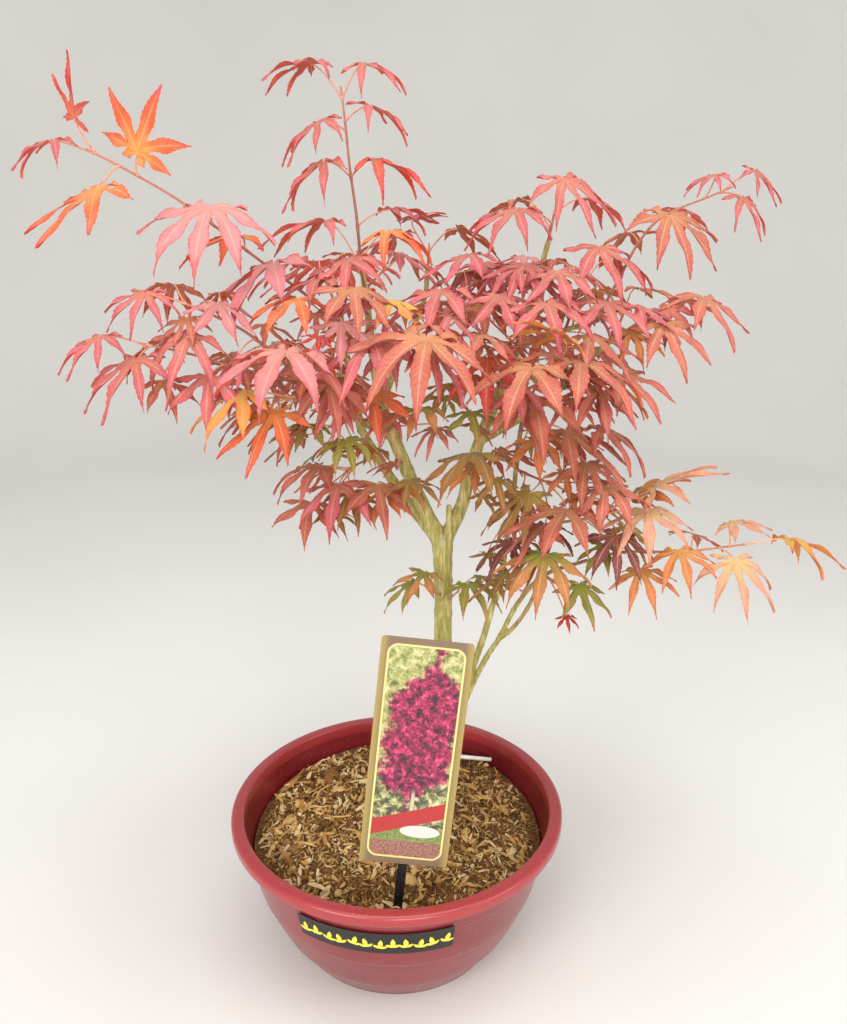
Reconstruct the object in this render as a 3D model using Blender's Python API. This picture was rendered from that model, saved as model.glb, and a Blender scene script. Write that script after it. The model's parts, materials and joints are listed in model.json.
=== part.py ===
"""A young red Japanese maple in a round plastic bowl, with its picture card, stake, sticker and white stick.

Lengths are in millimetres until a mesh is made, which turns them into metres. The origin is the centre of
the bowl's flat base, +Z is up, +X is to the right of the card's face and -Y is the side the card faces.
The plant's own points are measured from the trunk's foot on the soil and grow with TREE_HEIGHT.
"""

import math
import random

import bmesh
import bpy
from mathutils import Matrix, Vector
from mathutils.bvhtree import BVHTree

MM = 0.001
GAP = 0.3  # between pieces that touch

# Bowl
POT_DIAMETER = 220.0
POT_HEIGHT = 95.0
POT_WALL = 2.0
POT_FLOOR = 3.0
BASE_DIAMETER = 140.0
LIP_HEIGHT = 7.0
LIP_OVERHANG = 6.5
STEP_DEPTH = 0.8  # of the ledges moulded round the wall
WALL_BENDS = ((0.0, 0.0), (0.2, 0.36), (0.52, 0.72), (1.0, 1.0))  # share of the height, share of the opening
DRAIN_COUNT = 5
DRAIN_DIAMETER = 10.0
DRAIN_CIRCLE = 84.0
POT_SIDES = 60

# Soil
SOIL_EDGE_HEIGHT = 71.0
SOIL_MOUND = 9.0
SOIL_BACK_RISE = 8.0
SOIL_FRONT_RISE = 5.0
SOIL_ROUGHNESS = 1.6

# Tree
TREE_HEIGHT = 460.0  # from the soil to the leader's tip
TRUNK_DIAMETER = 11.5
TRUNK_FOOT = (28.0, 5.0)
LEAF_LENGTH = 50.0  # middle lobe of a leaf of size 1
LEAF_THICKNESS = 1.0
LOBE_WIDTH = 0.27  # share of the lobe's length
LEAF_HANG = 0.22  # how far a lobe's tip sinks, as a share of its length
PETIOLE_DIAMETER = 1.1
SHOOT_DIAMETER = 2.0
NODE_LENGTH = 2.2
NODE_PITCH = 3.4

# How a leaf that touches another is tried again: ever further from its listed place
MOST_TRIES = 1600
FIRST_REACH = 3.0
REACH_STEP = 0.1
MOVE = 0.3  # millimetres for each unit of reach
TURN = 1.5  # degrees for each unit of reach
RAISE = 1.2
LOWEST_LEAF = -68.0  # degrees
HIGHEST_LEAF = 60.0
SHRINK_STEP = 0.0008  # of the leaf's size, for each try
SMALLEST_SHARE = 0.55

# Card, stake, sticker and stick
CARD_WIDTH = 51.0
CARD_HEIGHT = 138.0
CARD_THICKNESS = 0.6
CARD_CENTRE = (13.0, -77.5, 177.0)
CARD_TILT = 6.2  # degrees to the right
CARD_LEAN = 4.0  # degrees back
STAKE_WIDTH = 5.5
STAKE_THICKNESS = 1.6
STAKE_DEPTH = 28.0  # below the soil
STAKE_OVERLAP = 95.0  # behind the card
STICKER_HEIGHT = 17.0
STICKER_THICKNESS = 0.4
STICKER_TOP = 77.0
STICKER_START = 236.5
STICKER_SWEEP = 54.0
STICK_DIAMETER = 3.0
STICK_LENGTH = 52.0
STICK_CENTRE = (43.0, 65.0)
STICK_TILT = 6.0  # degrees, its left end up

# Branches: (x, y, z, share of the trunk's radius) from the trunk's foot
TRUNK = ((0, 0, -25, 1.12), (0, 0, 0, 1.22), (1, -1, 22, 1.08), (1, -2, 52, 1.0), (2, -4, 100, 0.98),
         (2, -5, 138, 0.98), (2, -5, 172, 0.97), (1, -5, 205, 1.1))
BRANCHES = {
    "left_leader": ((1, -5, 200, 0.85), (-15, -10, 236, 0.72), (-28, -10, 269, 0.66), (-35, -10, 290, 0.54),
                    (-40, -5, 318, 0.44), (-43, 0, 346, 0.36), (-46, 5, 367, 0.28)),
    "left_rear": ((1, -5, 201, 0.7), (-22, 5, 227, 0.58), (-39, 13, 252, 0.5), (-49, 20, 268, 0.46),
                  (-52, 25, 285, 0.4), (-59, 35, 315, 0.33), (-66, 45, 344, 0.26)),
    "left_low": ((-30, -10, 270, 0.46), (-52, -25, 284, 0.38), (-60, -33, 294, 0.34), (-74, -43, 306, 0.28),
                 (-83, -50, 318, 0.24)),
    "left_upper": ((-41, -4, 320, 0.34), (-52, -5, 330, 0.3), (-66, -5, 341, 0.26)),
    "right_leader": ((1, -5, 200, 0.8), (13, 0, 224, 0.72), (17, 0, 242, 0.66), (24, 0, 267, 0.58),
                     (35, 5, 294, 0.48), (47, 10, 323, 0.4), (55, 15, 351, 0.34), (62, 15, 379, 0.26)),
    "right_side": ((23, 0, 264, 0.42), (45, -15, 280, 0.36), (67, -20, 298, 0.32), (90, -10, 319, 0.28),
                   (112, -5, 333, 0.24)),
    "right_upper": ((45, 9, 318, 0.36), (60, 9, 325, 0.32), (72, 5, 329, 0.29), (92, 5, 335, 0.25)),
    "low_stem": ((1, -2, 46, 0.5), (10, 3, 72, 0.44), (22, 7, 111, 0.4), (29, 7, 134, 0.38), (34, 7, 155, 0.36),
                 (38, 5, 169, 0.34), (44, 0, 227, 0.29), (47, -5, 271, 0.25), (52, -5, 293, 0.22)),
    "low_side_stem": ((1, -2, 48, 0.44), (12, 1, 76, 0.38), (22, 4, 101, 0.35), (31, 0, 123, 0.33),
                      (38, -5, 138, 0.3), (48, -13, 165, 0.27), (62, -23, 187, 0.24), (86, -30, 199, 0.2)),
    "low_fork": ((37, -4, 136, 0.26), (46, -13, 149, 0.25), (56, -16, 168, 0.23), (63, -17, 195, 0.21),
                 (70, -23, 222, 0.19)),
    "back_left": ((-49, 20, 266, 0.38), (-58, 55, 290, 0.33), (-64, 85, 316, 0.28), (-68, 105, 342, 0.22)),
    "back_middle": ((-35, -10, 288, 0.4), (-22, 20, 318, 0.34), (-10, 36, 345, 0.28), (-8, 42, 366, 0.22)),
    "back_right": ((23, 0, 262, 0.4), (41, 40, 289, 0.34), (57, 75, 314, 0.28), (70, 100, 342, 0.22)),
    "pruned_stub": ((5, -6, 200, 0.36), (5, -6, 226, 0.31)),
    "short_stub": ((-2, -9, 203, 0.34), (-2, -9, 216, 0.3)),
    "bare_twig": ((-43, 16, 259, 0.26), (-56, 2, 254, 0.2), (-71, -8, 265, 0.14)),
}

# Leafy shoots: the twig's route from inside its branch, then each leaf's palm, the azimuth and elevation of
# its middle lobe in degrees, the lobe's length and, on a leaf turned on edge, the azimuth its face looks to.
SHOOTS = {
    "crown": (((-46, 5, 363), (-48, 3, 392), (-51, 3, 416), (-53, 3, 439), (-55, 3, 458)),
              ((-70, 0, 468, 220, -20, 35), (-42, 0, 468, 320, -30, 32), (-66, -7, 439, 230, -45, 36),
               (-39, -4, 447, 320, -30, 33), (-64, -12, 418, 225, -45, 38), (-38, -6, 420, 340, -30, 40),
               (-29, 14, 396, 30, -10, 32))),
    "left_whip": (((-63, -5, 339), (-98, -20, 367), (-135, -30, 396), (-159, -40, 411), (-178, -46, 421)),
                  ((-181, -47, 437, 290, 45, 34, 250), (-192, -50, 424, 245, -30, 30),
                   (-157, -44, 424, 305, 45, 34, 270), (-173, -50, 402, 235, -35, 48),
                   (-119, -44, 394, 268, -35, 54), (-112, -8, 380, 215, -15, 42), (-90, -32, 366, 235, -35, 50))),
    "left_middle": (((-81, -48, 314), (-102, -57, 333), (-120, -63, 343), (-134, -64, 349)),
                    ((-148, -68, 352, 262, -40, 32), (-128, -70, 331, 260, -55, 42), (-114, -58, 347, 300, -35, 35),
                     (-108, -52, 318, 255, -35, 34), (-138, -52, 356, 120, -30, 32))),
    "left_tip": (((-74, -43, 304), (-104, -60, 314), (-128, -64, 322), (-154, -66, 328)),
                 ((-172, -70, 331, 245, -35, 32), (-154, -74, 320, 250, -40, 42), (-139, -54, 331, 140, -30, 32),
                  (-118, -70, 312, 270, -45, 36))),
    "left_front": (((-60, -33, 294), (-67, -52, 308), (-72, -64, 317)),
                   ((-78, -80, 325, 255, -25, 50), (-62, -74, 332, 275, -20, 16), (-58, -72, 308, 285, -45, 34))),
    "left_low": (((-66, -38, 299), (-78, -50, 298), (-85, -56, 299)),
                 ((-102, -74, 304, 235, -30, 40), (-87, -72, 294, 250, -45, 42), (-98, -48, 296, 195, -35, 34))),
    "left_top": (((-52, -5, 330), (-59, -28, 336), (-63, -40, 340)),
                 ((-75, -55, 349, 240, -25, 36), (-52, -60, 338, 270, -35, 34))),
    "left_green": (((-52, -25, 284), (-58, -38, 281), (-62, -43, 281)),
                   ((-72, -54, 284, 262, -20, 28), (-52, -56, 276, 290, -30, 26), (-78, -38, 274, 190, -30, 26))),
    "inner_left": (((-32, -10, 271), (-29, -20, 276), (-24, -28, 280)),
                   ((-38, -32, 266, 215, 0, 28), (-12, -46, 291, 255, -25, 30))),
    "low_left": (((-39, 13, 252), (-50, 0, 250), (-57, -9, 247)),
                 ((-59, -29, 245, 262, -30, 44), (-72, -14, 252, 215, -20, 36), (-76, -22, 232, 262, -30, 34))),
    "low_inner": (((-22, 5, 227), (-27, -10, 236), (-30, -18, 241)),
                  ((-36, -35, 246, 280, -35, 36), (-18, -33, 248, 295, -20, 26))),
    "front": (((-40, -5, 318), (-28, -35, 324), (-20, -56, 328)),
              ((-9, -80, 331, 262, -35, 54), (-37, -70, 331, 245, -45, 46), (-8, -58, 336, 330, -20, 34))),
    "front_small": (((-43, 0, 344), (-32, -20, 345), (-22, -32, 345)),
                    ((-25, -50, 348, 245, -15, 30), (4, -48, 340, 300, -25, 30), (-38, -40, 350, 215, -20, 28))),
    "centre": (((47, 10, 321), (38, -10, 323), (32, -22, 324)),
               ((20, -50, 331, 300, -25, 34), (24, -42, 318, 262, -50, 42), (52, -36, 328, 300, -30, 34))),
    "inner_green": (((24, 0, 265), (18, -14, 280), (14, -20, 288)),
                    ((16, -37, 288, 275, -25, 27), (2, -28, 302, 245, -30, 28))),
    "olive": (((17, 0, 242), (18, -14, 252), (19, -25, 259)),
              ((16, -46, 267, 238, -20, 48), (30, -38, 250, 280, -30, 26), (34, -20, 262, 340, -15, 30))),
    "trunk_left": (((2, -5, 166), (-2, -15, 172), (-5, -19, 176)),
                   ((-10, -26, 190, 235, -25, 25), (-18, -18, 180, 205, -30, 26))),
    "trunk_right": (((2, -5, 160), (8, -13, 170), (11, -17, 174)),
                    ((16, -28, 183, 295, -15, 30), (24, -6, 180, 350, -15, 24))),
    "right_high": (((61, 15, 375), (64, 13, 392), (65, 10, 400)),
                   ((66, -6, 410, 300, -50, 42), (40, -8, 394, 235, -35, 42), (46, 30, 402, 150, -25, 34),
                    (84, 16, 402, 10, -30, 34))),
    "right_top": (((54, 14, 348), (58, -1, 355), (60, -9, 357)),
                  ((62, -27, 362, 275, -30, 38), (42, -16, 364, 225, -25, 32))),
    "right_crown": (((72, 5, 328), (78, 3, 348), (82, 1, 360)),
                    ((86, -14, 375, 285, -40, 42), (100, 14, 370, 20, -30, 36), (66, 12, 368, 150, -20, 32))),
    "right_whip": (((90, 5, 334), (104, 14, 358), (116, 20, 379), (130, 23, 393), (157, 25, 404), (169, 25, 409)),
                   ((128, 4, 392, 285, -40, 45), (154, 14, 414, 225, -30, 24), (181, 24, 417, 300, -50, 26),
                    (170, 12, 402, 300, -55, 30), (112, 36, 384, 100, -25, 36), (142, 38, 398, 60, -25, 30))),
    "right_middle": (((110, -5, 332), (120, -6, 339), (130, -7, 345)),
                     ((146, -12, 348, 300, -40, 38), (122, -26, 335, 285, -45, 40), (142, 8, 346, 40, -30, 30))),
    "right_back": (((99, -7, 324), (106, 12, 334), (112, 24, 342)),
                   ((122, 38, 352, 315, -10, 34), (96, 38, 350, 110, -25, 38))),
    "golden": (((52, -5, 290), (53, -24, 301), (54, -38, 308)),
               ((60, -62, 330, 205, 15, 34), (44, -72, 316, 238, -32, 46), (70, -60, 318, 308, -25, 48),
                (74, -34, 312, 345, -20, 36))),
    "right_front": (((47, -5, 271), (48, -20, 281), (49, -30, 288)),
                    ((48, -50, 297, 272, -32, 44), (70, -30, 276, 318, -28, 50))),
    "low_right": (((46, -2, 247), (58, -14, 244), (68, -24, 243)),
                  ((91, -43, 247, 255, -22, 38), (67, -54, 236, 245, -20, 44), (50, -32, 240, 215, -40, 40),
                   (84, -16, 246, 340, -20, 34))),
    "purple": (((44, 0, 227), (44, -8, 222), (45, -13, 219)),
               ((42, -26, 208, 228, -25, 30), (60, -12, 214, 330, -25, 28))),
    "orange": (((48, -13, 165), (51, -28, 182), (53, -38, 194)),
               ((57, -56, 212, 255, -28, 43), (38, -34, 192, 200, -20, 28))),
    "green_tip": (((62, -23, 187), (69, -31, 184)),
                  ((80, -42, 188, 285, -35, 30), (74, -36, 166, 275, -30, 12))),
    "cream": (((70, -23, 220), (86, -27, 224), (98, -30, 230)),
              ((122, -33, 244, 325, 20, 42), (114, -46, 234, 262, -28, 38), (98, -48, 220, 262, -35, 34),
               (108, -14, 236, 40, -20, 32))),
    "low_whip": (((84, -30, 198), (105, -33, 205), (137, -38, 207), (162, -41, 211), (178, -43, 214)),
                 ((132, -52, 212, 275, -30, 30), (162, -57, 208, 270, -50, 38), (166, -36, 224, 300, 0, 28),
                  (194, -45, 217, 355, -25, 38), (148, -26, 214, 60, -25, 28), (112, -50, 200, 285, -35, 30))),
    "crown_foot": (((-44, 1, 353), (-46, -8, 366), (-47, -12, 373)),
                   ((-64, -14, 388, 205, -20, 42), (-30, -20, 382, 318, -30, 36), (-50, -32, 368, 268, -30, 42))),
    "top_front": (((-42, -1, 338), (-44, -20, 344), (-46, -34, 347)),
                  ((-46, -56, 354, 280, -25, 38), (-66, -42, 358, 225, -25, 34))),
    "centre_top": (((35, 5, 294), (24, -6, 324), (14, -14, 342)),
                   ((-2, -34, 352, 258, -30, 40), (30, -34, 350, 285, -30, 38), (12, -4, 362, 100, -20, 34))),
    "crown_side": (((-44, 2, 352), (-36, 10, 360), (-32, 13, 363)),
                   ((-20, 24, 370, 40, -20, 34), (-24, -2, 372, 325, -25, 32))),
    "middle_top": (((46, 9, 320), (36, 4, 346), (30, -4, 356)),
                   ((14, -12, 371, 245, -25, 36), (46, -14, 366, 285, -30, 38), (28, 18, 366, 90, -20, 34))),
    "middle_front": (((35, 5, 294), (42, -14, 322), (46, -24, 334)),
                     ((54, -46, 346, 275, -30, 38), (78, -42, 330, 310, -30, 38), (62, -20, 344, 20, -20, 32))),
    "left_inner": (((-33, -10, 284), (-42, -24, 294), (-46, -32, 298)),
                   ((-56, -48, 308, 248, -35, 40), (-38, -48, 300, 278, -35, 36), (-66, -28, 306, 200, -25, 34))),
    "right_inner": (((67, -20, 298), (78, -24, 302), (84, -26, 303)),
                    ((98, -36, 308, 302, -30, 38), (96, -12, 300, 15, -30, 36), (84, -46, 300, 272, -35, 34))),
    "right_low_inner": (((47, -15, 281), (60, -16, 272), (72, -16, 268)),
                        ((92, -20, 276, 330, -30, 40), (82, -32, 258, 290, -30, 38), (66, 4, 268, 60, -30, 34))),
    "right_upper_front": (((84, 5, 332), (88, -8, 338), (90, -16, 341)),
                          ((88, -32, 346, 272, -30, 38), (108, -18, 344, 320, -25, 34), (76, -8, 352, 190, -20, 30))),
    "back_middle_tip": (((-8, 42, 363), (-7, 44, 372), (-7, 45, 378)),
                        ((-16, 34, 392, 320, 15, 24), (10, 40, 386, 10, -25, 36), (-26, 56, 384, 150, -25, 36))),
    "back_middle_side": (((-14, 31, 337), (2, 30, 350), (12, 28, 356)),
                         ((22, 12, 366, 285, -30, 36), (26, 42, 362, 50, -25, 36))),
    "rear_tip": (((-65, 43, 341), (-71, 50, 354), (-76, 54, 360)),
                 ((-88, 40, 368, 200, -25, 40), (-78, 72, 368, 95, -30, 38), (-60, 60, 372, 60, -20, 30))),
    "rear_side": (((-56, 31, 303), (-74, 34, 310), (-84, 34, 313)),
                  ((-100, 22, 320, 200, -30, 42), (-98, 50, 318, 150, -30, 40), (-84, 14, 304, 215, -35, 36))),
    "back_left_tip": (((-68, 104, 339), (-72, 112, 352), (-74, 117, 358)),
                      ((-92, 116, 366, 185, -30, 42), (-66, 134, 366, 85, -35, 42), (-56, 108, 370, 330, -20, 34))),
    "back_left_low": (((-60, 64, 298), (-76, 76, 302), (-86, 82, 304)),
                      ((-102, 74, 310, 200, -30, 42), (-88, 102, 306, 110, -35, 42), (-66, 92, 292, 60, -40, 36))),
    "back_right_tip": (((70, 99, 339), (74, 106, 352), (76, 110, 358)),
                       ((94, 112, 364, 0, -30, 42), (68, 128, 366, 95, -35, 42), (58, 98, 370, 210, -20, 34))),
    "back_right_low": (((50, 60, 303), (70, 66, 306), (80, 68, 308)),
                       ((98, 56, 314, 330, -30, 42), (92, 84, 312, 50, -35, 42), (60, 88, 300, 110, -40, 38))),
    "back_right_high": (((55, 70, 311), (38, 76, 326), (30, 78, 334)),
                        ((14, 76, 342, 180, -25, 40), (34, 94, 346, 90, -30, 38), (36, 62, 348, 280, -20, 34))),
}

# One lobe each: degrees from the middle lobe, share of its length, share of its width
LOBES = ((-104, 0.52, 0.8), (-54, 0.86, 0.95), (0, 1.0, 1.0), (54, 0.86, 0.95), (104, 0.52, 0.8))
PALM_SHARE = 0.07  # palm's distance from the petiole, as a share of the leaf's length
SINUS_SHARE = 0.2
SHOULDER_SHARE = 0.42

COLOURS = {
    "pot_red": (0.26, 0.032, 0.036, 1.0, 0.42),
    "soil_brown": (0.17, 0.09, 0.04, 1.0, 0.95),
    "bark": (0.18, 0.17, 0.06, 1.0, 0.8),
    "leaf_pink": (0.60, 0.12, 0.13, 1.0, 0.55),
    "leaf_coral": (0.55, 0.14, 0.08, 1.0, 0.55),
    "leaf_olive": (0.25, 0.17, 0.05, 1.0, 0.55),
    "card_print": (0.45, 0.25, 0.18, 1.0, 0.4),
    "black_plastic": (0.01, 0.01, 0.01, 1.0, 0.4),
    "white_plastic": (0.8, 0.8, 0.78, 1.0, 0.4),
}
OLIVE_BELOW = 235.0
PINK_ABOVE = 345.0

PLANT_SCALE = TREE_HEIGHT / 460.0
LEAF_SCALE = LEAF_LENGTH / 50.0
TRUNK_RADIUS = TRUNK_DIAMETER / 2
SOIL_AT_TRUNK = SOIL_EDGE_HEIGHT + 4.0


def clear_scene():
    for thing in list(bpy.data.objects):
        bpy.data.objects.remove(thing, do_unlink=True)


def material(name):
    found = bpy.data.materials.get(name)
    if found:
        return found
    made = bpy.data.materials.new(name)
    made.use_nodes = True
    shader = made.node_tree.nodes["Principled BSDF"]
    shader.inputs["Base Color"].default_value = COLOURS[name][:4]
    shader.inputs["Roughness"].default_value = COLOURS[name][4]
    made.diffuse_color = COLOURS[name][:4]
    return made


def add_object(name, points, faces, colour, helper=False):
    """A mesh object from points in millimetres."""
    mesh = bpy.data.meshes.new(name)
    mesh.from_pydata([Vector(p) * MM for p in points], [], faces)
    mesh.validate()
    mesh.materials.append(material(colour))
    made = bpy.data.objects.new(name, mesh)
    bpy.context.scene.collection.objects.link(made)
    if helper:
        made.hide_render = True
        made.display_type = "WIRE"
    return made


def cut(body, cutter):
    boolean = body.modifiers.new(cutter.name, "BOOLEAN")
    boolean.operation = "DIFFERENCE"
    boolean.solver = "EXACT"
    boolean.object = cutter


def lerp(a, b, share):
    return a + (b - a) * share


# ---- bowl ----------------------------------------------------------------------------------------------

def wall_height(share):
    return (POT_HEIGHT - LIP_HEIGHT) * share


def wall_radius(z):
    """The outer wall's radius at a height, without the lip: a bowl that opens quickly, then steeply."""
    top = POT_DIAMETER / 2 - LIP_OVERHANG
    for (low, narrow), (high, wide) in zip(WALL_BENDS, WALL_BENDS[1:]):
        if z <= wall_height(high) or high == 1.0:
            opening = lerp(narrow, wide, (z - wall_height(low)) / (wall_height(high) - wall_height(low)))
            return lerp(BASE_DIAMETER / 2, top, opening)


def inside_radius(z):
    return wall_radius(z) - POT_WALL


def pot_profile():
    """Down the outer side from the lip to the base's centre, then up the inner side."""
    rim = POT_DIAMETER / 2
    under = POT_HEIGHT - LIP_HEIGHT
    inner_lip = rim - LIP_OVERHANG - POT_WALL
    profile = [(inner_lip + 1.5, POT_HEIGHT), (rim - 3.5, POT_HEIGHT), (rim - 1.2, POT_HEIGHT - 1.8),
               (rim, under + 0.8), (rim - 0.6, under), (wall_radius(under), under)]
    for share, _ in reversed(WALL_BENDS[1:-1]):
        z = wall_height(share)
        profile += [(wall_radius(z), z + STEP_DEPTH), (wall_radius(z) - STEP_DEPTH, z)]
    profile += [(BASE_DIAMETER / 2 - STEP_DEPTH, 1.0), (BASE_DIAMETER / 2 - STEP_DEPTH - 1.0, 0.0)]
    profile += [(0.0, 0.0), (0.0, POT_FLOOR), (inside_radius(POT_FLOOR), POT_FLOOR)]
    for share, _ in WALL_BENDS[1:]:
        z = wall_height(share)
        profile.append((inside_radius(z), z))
    profile.append((inner_lip, POT_HEIGHT - 1.5))
    return profile


def build_pot():
    profile = pot_profile()
    count = len(profile)
    axis_edge = profile.index((0.0, 0.0))
    mesh = bpy.data.meshes.new("pot")
    edges = [(i, (i + 1) % count) for i in range(count) if i != axis_edge]
    mesh.from_pydata([(r * MM, 0.0, z * MM) for r, z in profile], edges, [])
    mesh.materials.append(material("pot_red"))
    pot = bpy.data.objects.new("pot", mesh)
    bpy.context.scene.collection.objects.link(pot)
    screw = pot.modifiers.new("turned", "SCREW")
    screw.steps = POT_SIDES
    screw.render_steps = POT_SIDES
    screw.use_merge_vertices = True
    screw.merge_threshold = 0.00001
    for i in range(DRAIN_COUNT):
        angle = math.tau * (i + 0.25) / DRAIN_COUNT
        centre = Vector((math.cos(angle), math.sin(angle), 0.0)) * DRAIN_CIRCLE / 2
        points, faces = tube([centre - Vector((0, 0, 5)), centre + Vector((0, 0, POT_FLOOR + 5))],
                             [DRAIN_DIAMETER / 2] * 2, 12)
        cut(pot, add_object(f"drain_cutter_{i + 1}", points, faces, "pot_red", helper=True))
    return pot


# ---- soil ----------------------------------------------------------------------------------------------

def soil_height(x, y):
    """The soil's surface: a low mound, heaped up against the back of the wall and a little towards the card."""
    reach = inside_radius(SOIL_EDGE_HEIGHT)
    share = min(1.0, math.hypot(x, y) / reach)
    mound = SOIL_MOUND * (1.0 - share ** 2.4)
    back = SOIL_BACK_RISE * max(0.0, y / reach)
    front = SOIL_FRONT_RISE * max(0.0, -y / reach) * (1.0 - share ** 6)
    return SOIL_EDGE_HEIGHT + mound + back + front


def build_soil():
    dice = random.Random(4)
    rings = (1.0, 0.9, 0.76, 0.6, 0.42, 0.22)
    edge = inside_radius(SOIL_EDGE_HEIGHT) - GAP
    points = []
    bends = [wall_height(share) for share, _ in WALL_BENDS[1:-1]]
    for z in [POT_FLOOR + GAP] + bends:
        points += [polar(inside_radius(z) - GAP, i, z) for i in range(POT_SIDES)]
    side_rings = len(points) // POT_SIDES
    for share in rings:
        for i in range(POT_SIDES):
            x, y, _ = polar(edge * share, i, 0.0)
            lump = dice.uniform(-1, 1) * SOIL_ROUGHNESS * (share < 1.0)
            points.append((x, y, soil_height(x, y) + lump))
    faces = []
    for ring in range(side_rings + len(rings) - 1):
        for i in range(POT_SIDES):
            a = ring * POT_SIDES + i
            b = ring * POT_SIDES + (i + 1) % POT_SIDES
            faces.append((a, b, b + POT_SIDES, a + POT_SIDES))
    last = len(points) - POT_SIDES
    points.append((0.0, 0.0, soil_height(0, 0)))
    faces += [(last + i, last + (i + 1) % POT_SIDES, len(points) - 1) for i in range(POT_SIDES)]
    faces.append(tuple(reversed(range(POT_SIDES))))
    return add_object("soil", points, faces, "soil_brown")


def polar(radius, step, z):
    angle = math.tau * step / POT_SIDES
    return (radius * math.cos(angle), radius * math.sin(angle), z)


# ---- wood ----------------------------------------------------------------------------------------------

def plant_point(p):
    """A point of the plant's tables as a place in the bowl's frame."""
    scale = PLANT_SCALE
    return Vector((TRUNK_FOOT[0] + p[0] * scale, TRUNK_FOOT[1] + p[1] * scale, SOIL_AT_TRUNK + p[2] * scale))


def smooth_route(points, parts):
    """Points along a Catmull-Rom curve through the given ones, with the other values carried along."""
    ends = [tuple(2 * a - b for a, b in zip(points[0], points[1]))]
    ends += [tuple(p) for p in points]
    ends.append(tuple(2 * a - b for a, b in zip(points[-1], points[-2])))
    route = []
    for p0, p1, p2, p3 in zip(ends, ends[1:], ends[2:], ends[3:]):
        for part in range(parts):
            t = part / parts
            route.append(tuple(
                0.5 * (2 * b + (c - a) * t + (2 * a - 5 * b + 4 * c - d) * t * t + (3 * b - a - 3 * c + d) * t ** 3)
                for a, b, c, d in zip(p0, p1, p2, p3)))
    route.append(tuple(points[-1]))
    return route


def frames_along(route):
    """(point, tangent, side, up) for each point, turning as little as possible from one to the next."""
    frames = []
    side = None
    for i, point in enumerate(route):
        tangent = (route[min(i + 1, len(route) - 1)] - route[max(i - 1, 0)]).normalized()
        if side is None:
            side = tangent.orthogonal()
        side = (side - tangent * side.dot(tangent)).normalized()
        frames.append((point, tangent, side, tangent.cross(side)))
    return frames


def ring(frame, radius, sides):
    point, _, side, up = frame
    turns = (math.tau * i / sides for i in range(sides))
    return [point + side * (radius * math.cos(a)) + up * (radius * math.sin(a)) for a in turns]


def tube(route, radii, sides):
    points = []
    for frame, radius in zip(frames_along([Vector(p) for p in route]), radii):
        points += ring(frame, radius, sides)
    faces = []
    for start in range(0, len(points) - sides, sides):
        for i in range(sides):
            j = (i + 1) % sides
            faces.append((start + i, start + j, start + sides + j, start + sides + i))
    faces.append(tuple(reversed(range(sides))))
    faces.append(tuple(range(len(points) - sides, len(points))))
    return points, faces


def limb(table, parts, sides):
    smooth = smooth_route(table, parts)
    radii = [p[3] * TRUNK_RADIUS for p in smooth]
    return tube([plant_point(p) for p in smooth], radii, sides)


def build_wood():
    points, faces = limb(TRUNK, 1, 10)
    trunk = add_object("trunk_and_branches", points, faces, "bark")
    parts = bpy.data.collections.new("branch_tubes")
    bpy.context.scene.collection.children.link(parts)
    for name, table in BRANCHES.items():
        points, faces = limb(table, 2 if len(table) > 3 else 1, 7 if table[0][3] > 0.6 else 6)
        tube_object = add_object("branch_" + name, points, faces, "bark", helper=True)
        bpy.context.scene.collection.objects.unlink(tube_object)
        parts.objects.link(tube_object)
    union = trunk.modifiers.new("grown_together", "BOOLEAN")
    union.operation = "UNION"
    union.solver = "EXACT"
    union.use_self = True
    union.operand_type = "COLLECTION"
    union.collection = parts
    return trunk


# ---- card, stake, sticker and stick ------------------------------------------------------------------

def card_place():
    lean = Matrix.Rotation(math.radians(-CARD_LEAN), 4, "X")
    tilt = Matrix.Rotation(math.radians(CARD_TILT), 4, "Y")
    return Matrix.Translation(CARD_CENTRE) @ lean @ tilt


def box_faces(low, high, place):
    points = [place @ Vector((x, y, z)) for x in (low[0], high[0]) for y in (low[1], high[1]) for z in (low[2], high[2])]
    faces = [(0, 1, 3, 2), (4, 6, 7, 5), (0, 4, 5, 1), (2, 3, 7, 6), (0, 2, 6, 4), (1, 5, 7, 3)]
    return points, faces


def build_card():
    low = (-CARD_WIDTH / 2, -CARD_THICKNESS / 2, -CARD_HEIGHT / 2)
    high = tuple(-v for v in low)
    return add_object("label_card", *box_faces(low, high, card_place()), "card_print")


def stake_box(margin):
    """The flat stake behind the card, from the soil up. Its lower end is below the card's lower edge."""
    back = CARD_THICKNESS / 2 + GAP
    place = card_place()
    foot = place @ Vector((0, back, -CARD_HEIGHT / 2))
    drop = foot.z - soil_height(foot.x, foot.y) + STAKE_DEPTH
    low = (-STAKE_WIDTH / 2 - margin, back - margin, -CARD_HEIGHT / 2 - drop - margin)
    high = (STAKE_WIDTH / 2 + margin, back + STAKE_THICKNESS + margin, STAKE_OVERLAP - CARD_HEIGHT / 2)
    return box_faces(low, high, place)


def build_stake(soil):
    cut(soil, add_object("stake_socket", *stake_box(GAP), "soil_brown", helper=True))
    return add_object("label_stake", *stake_box(0.0), "black_plastic")


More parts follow.
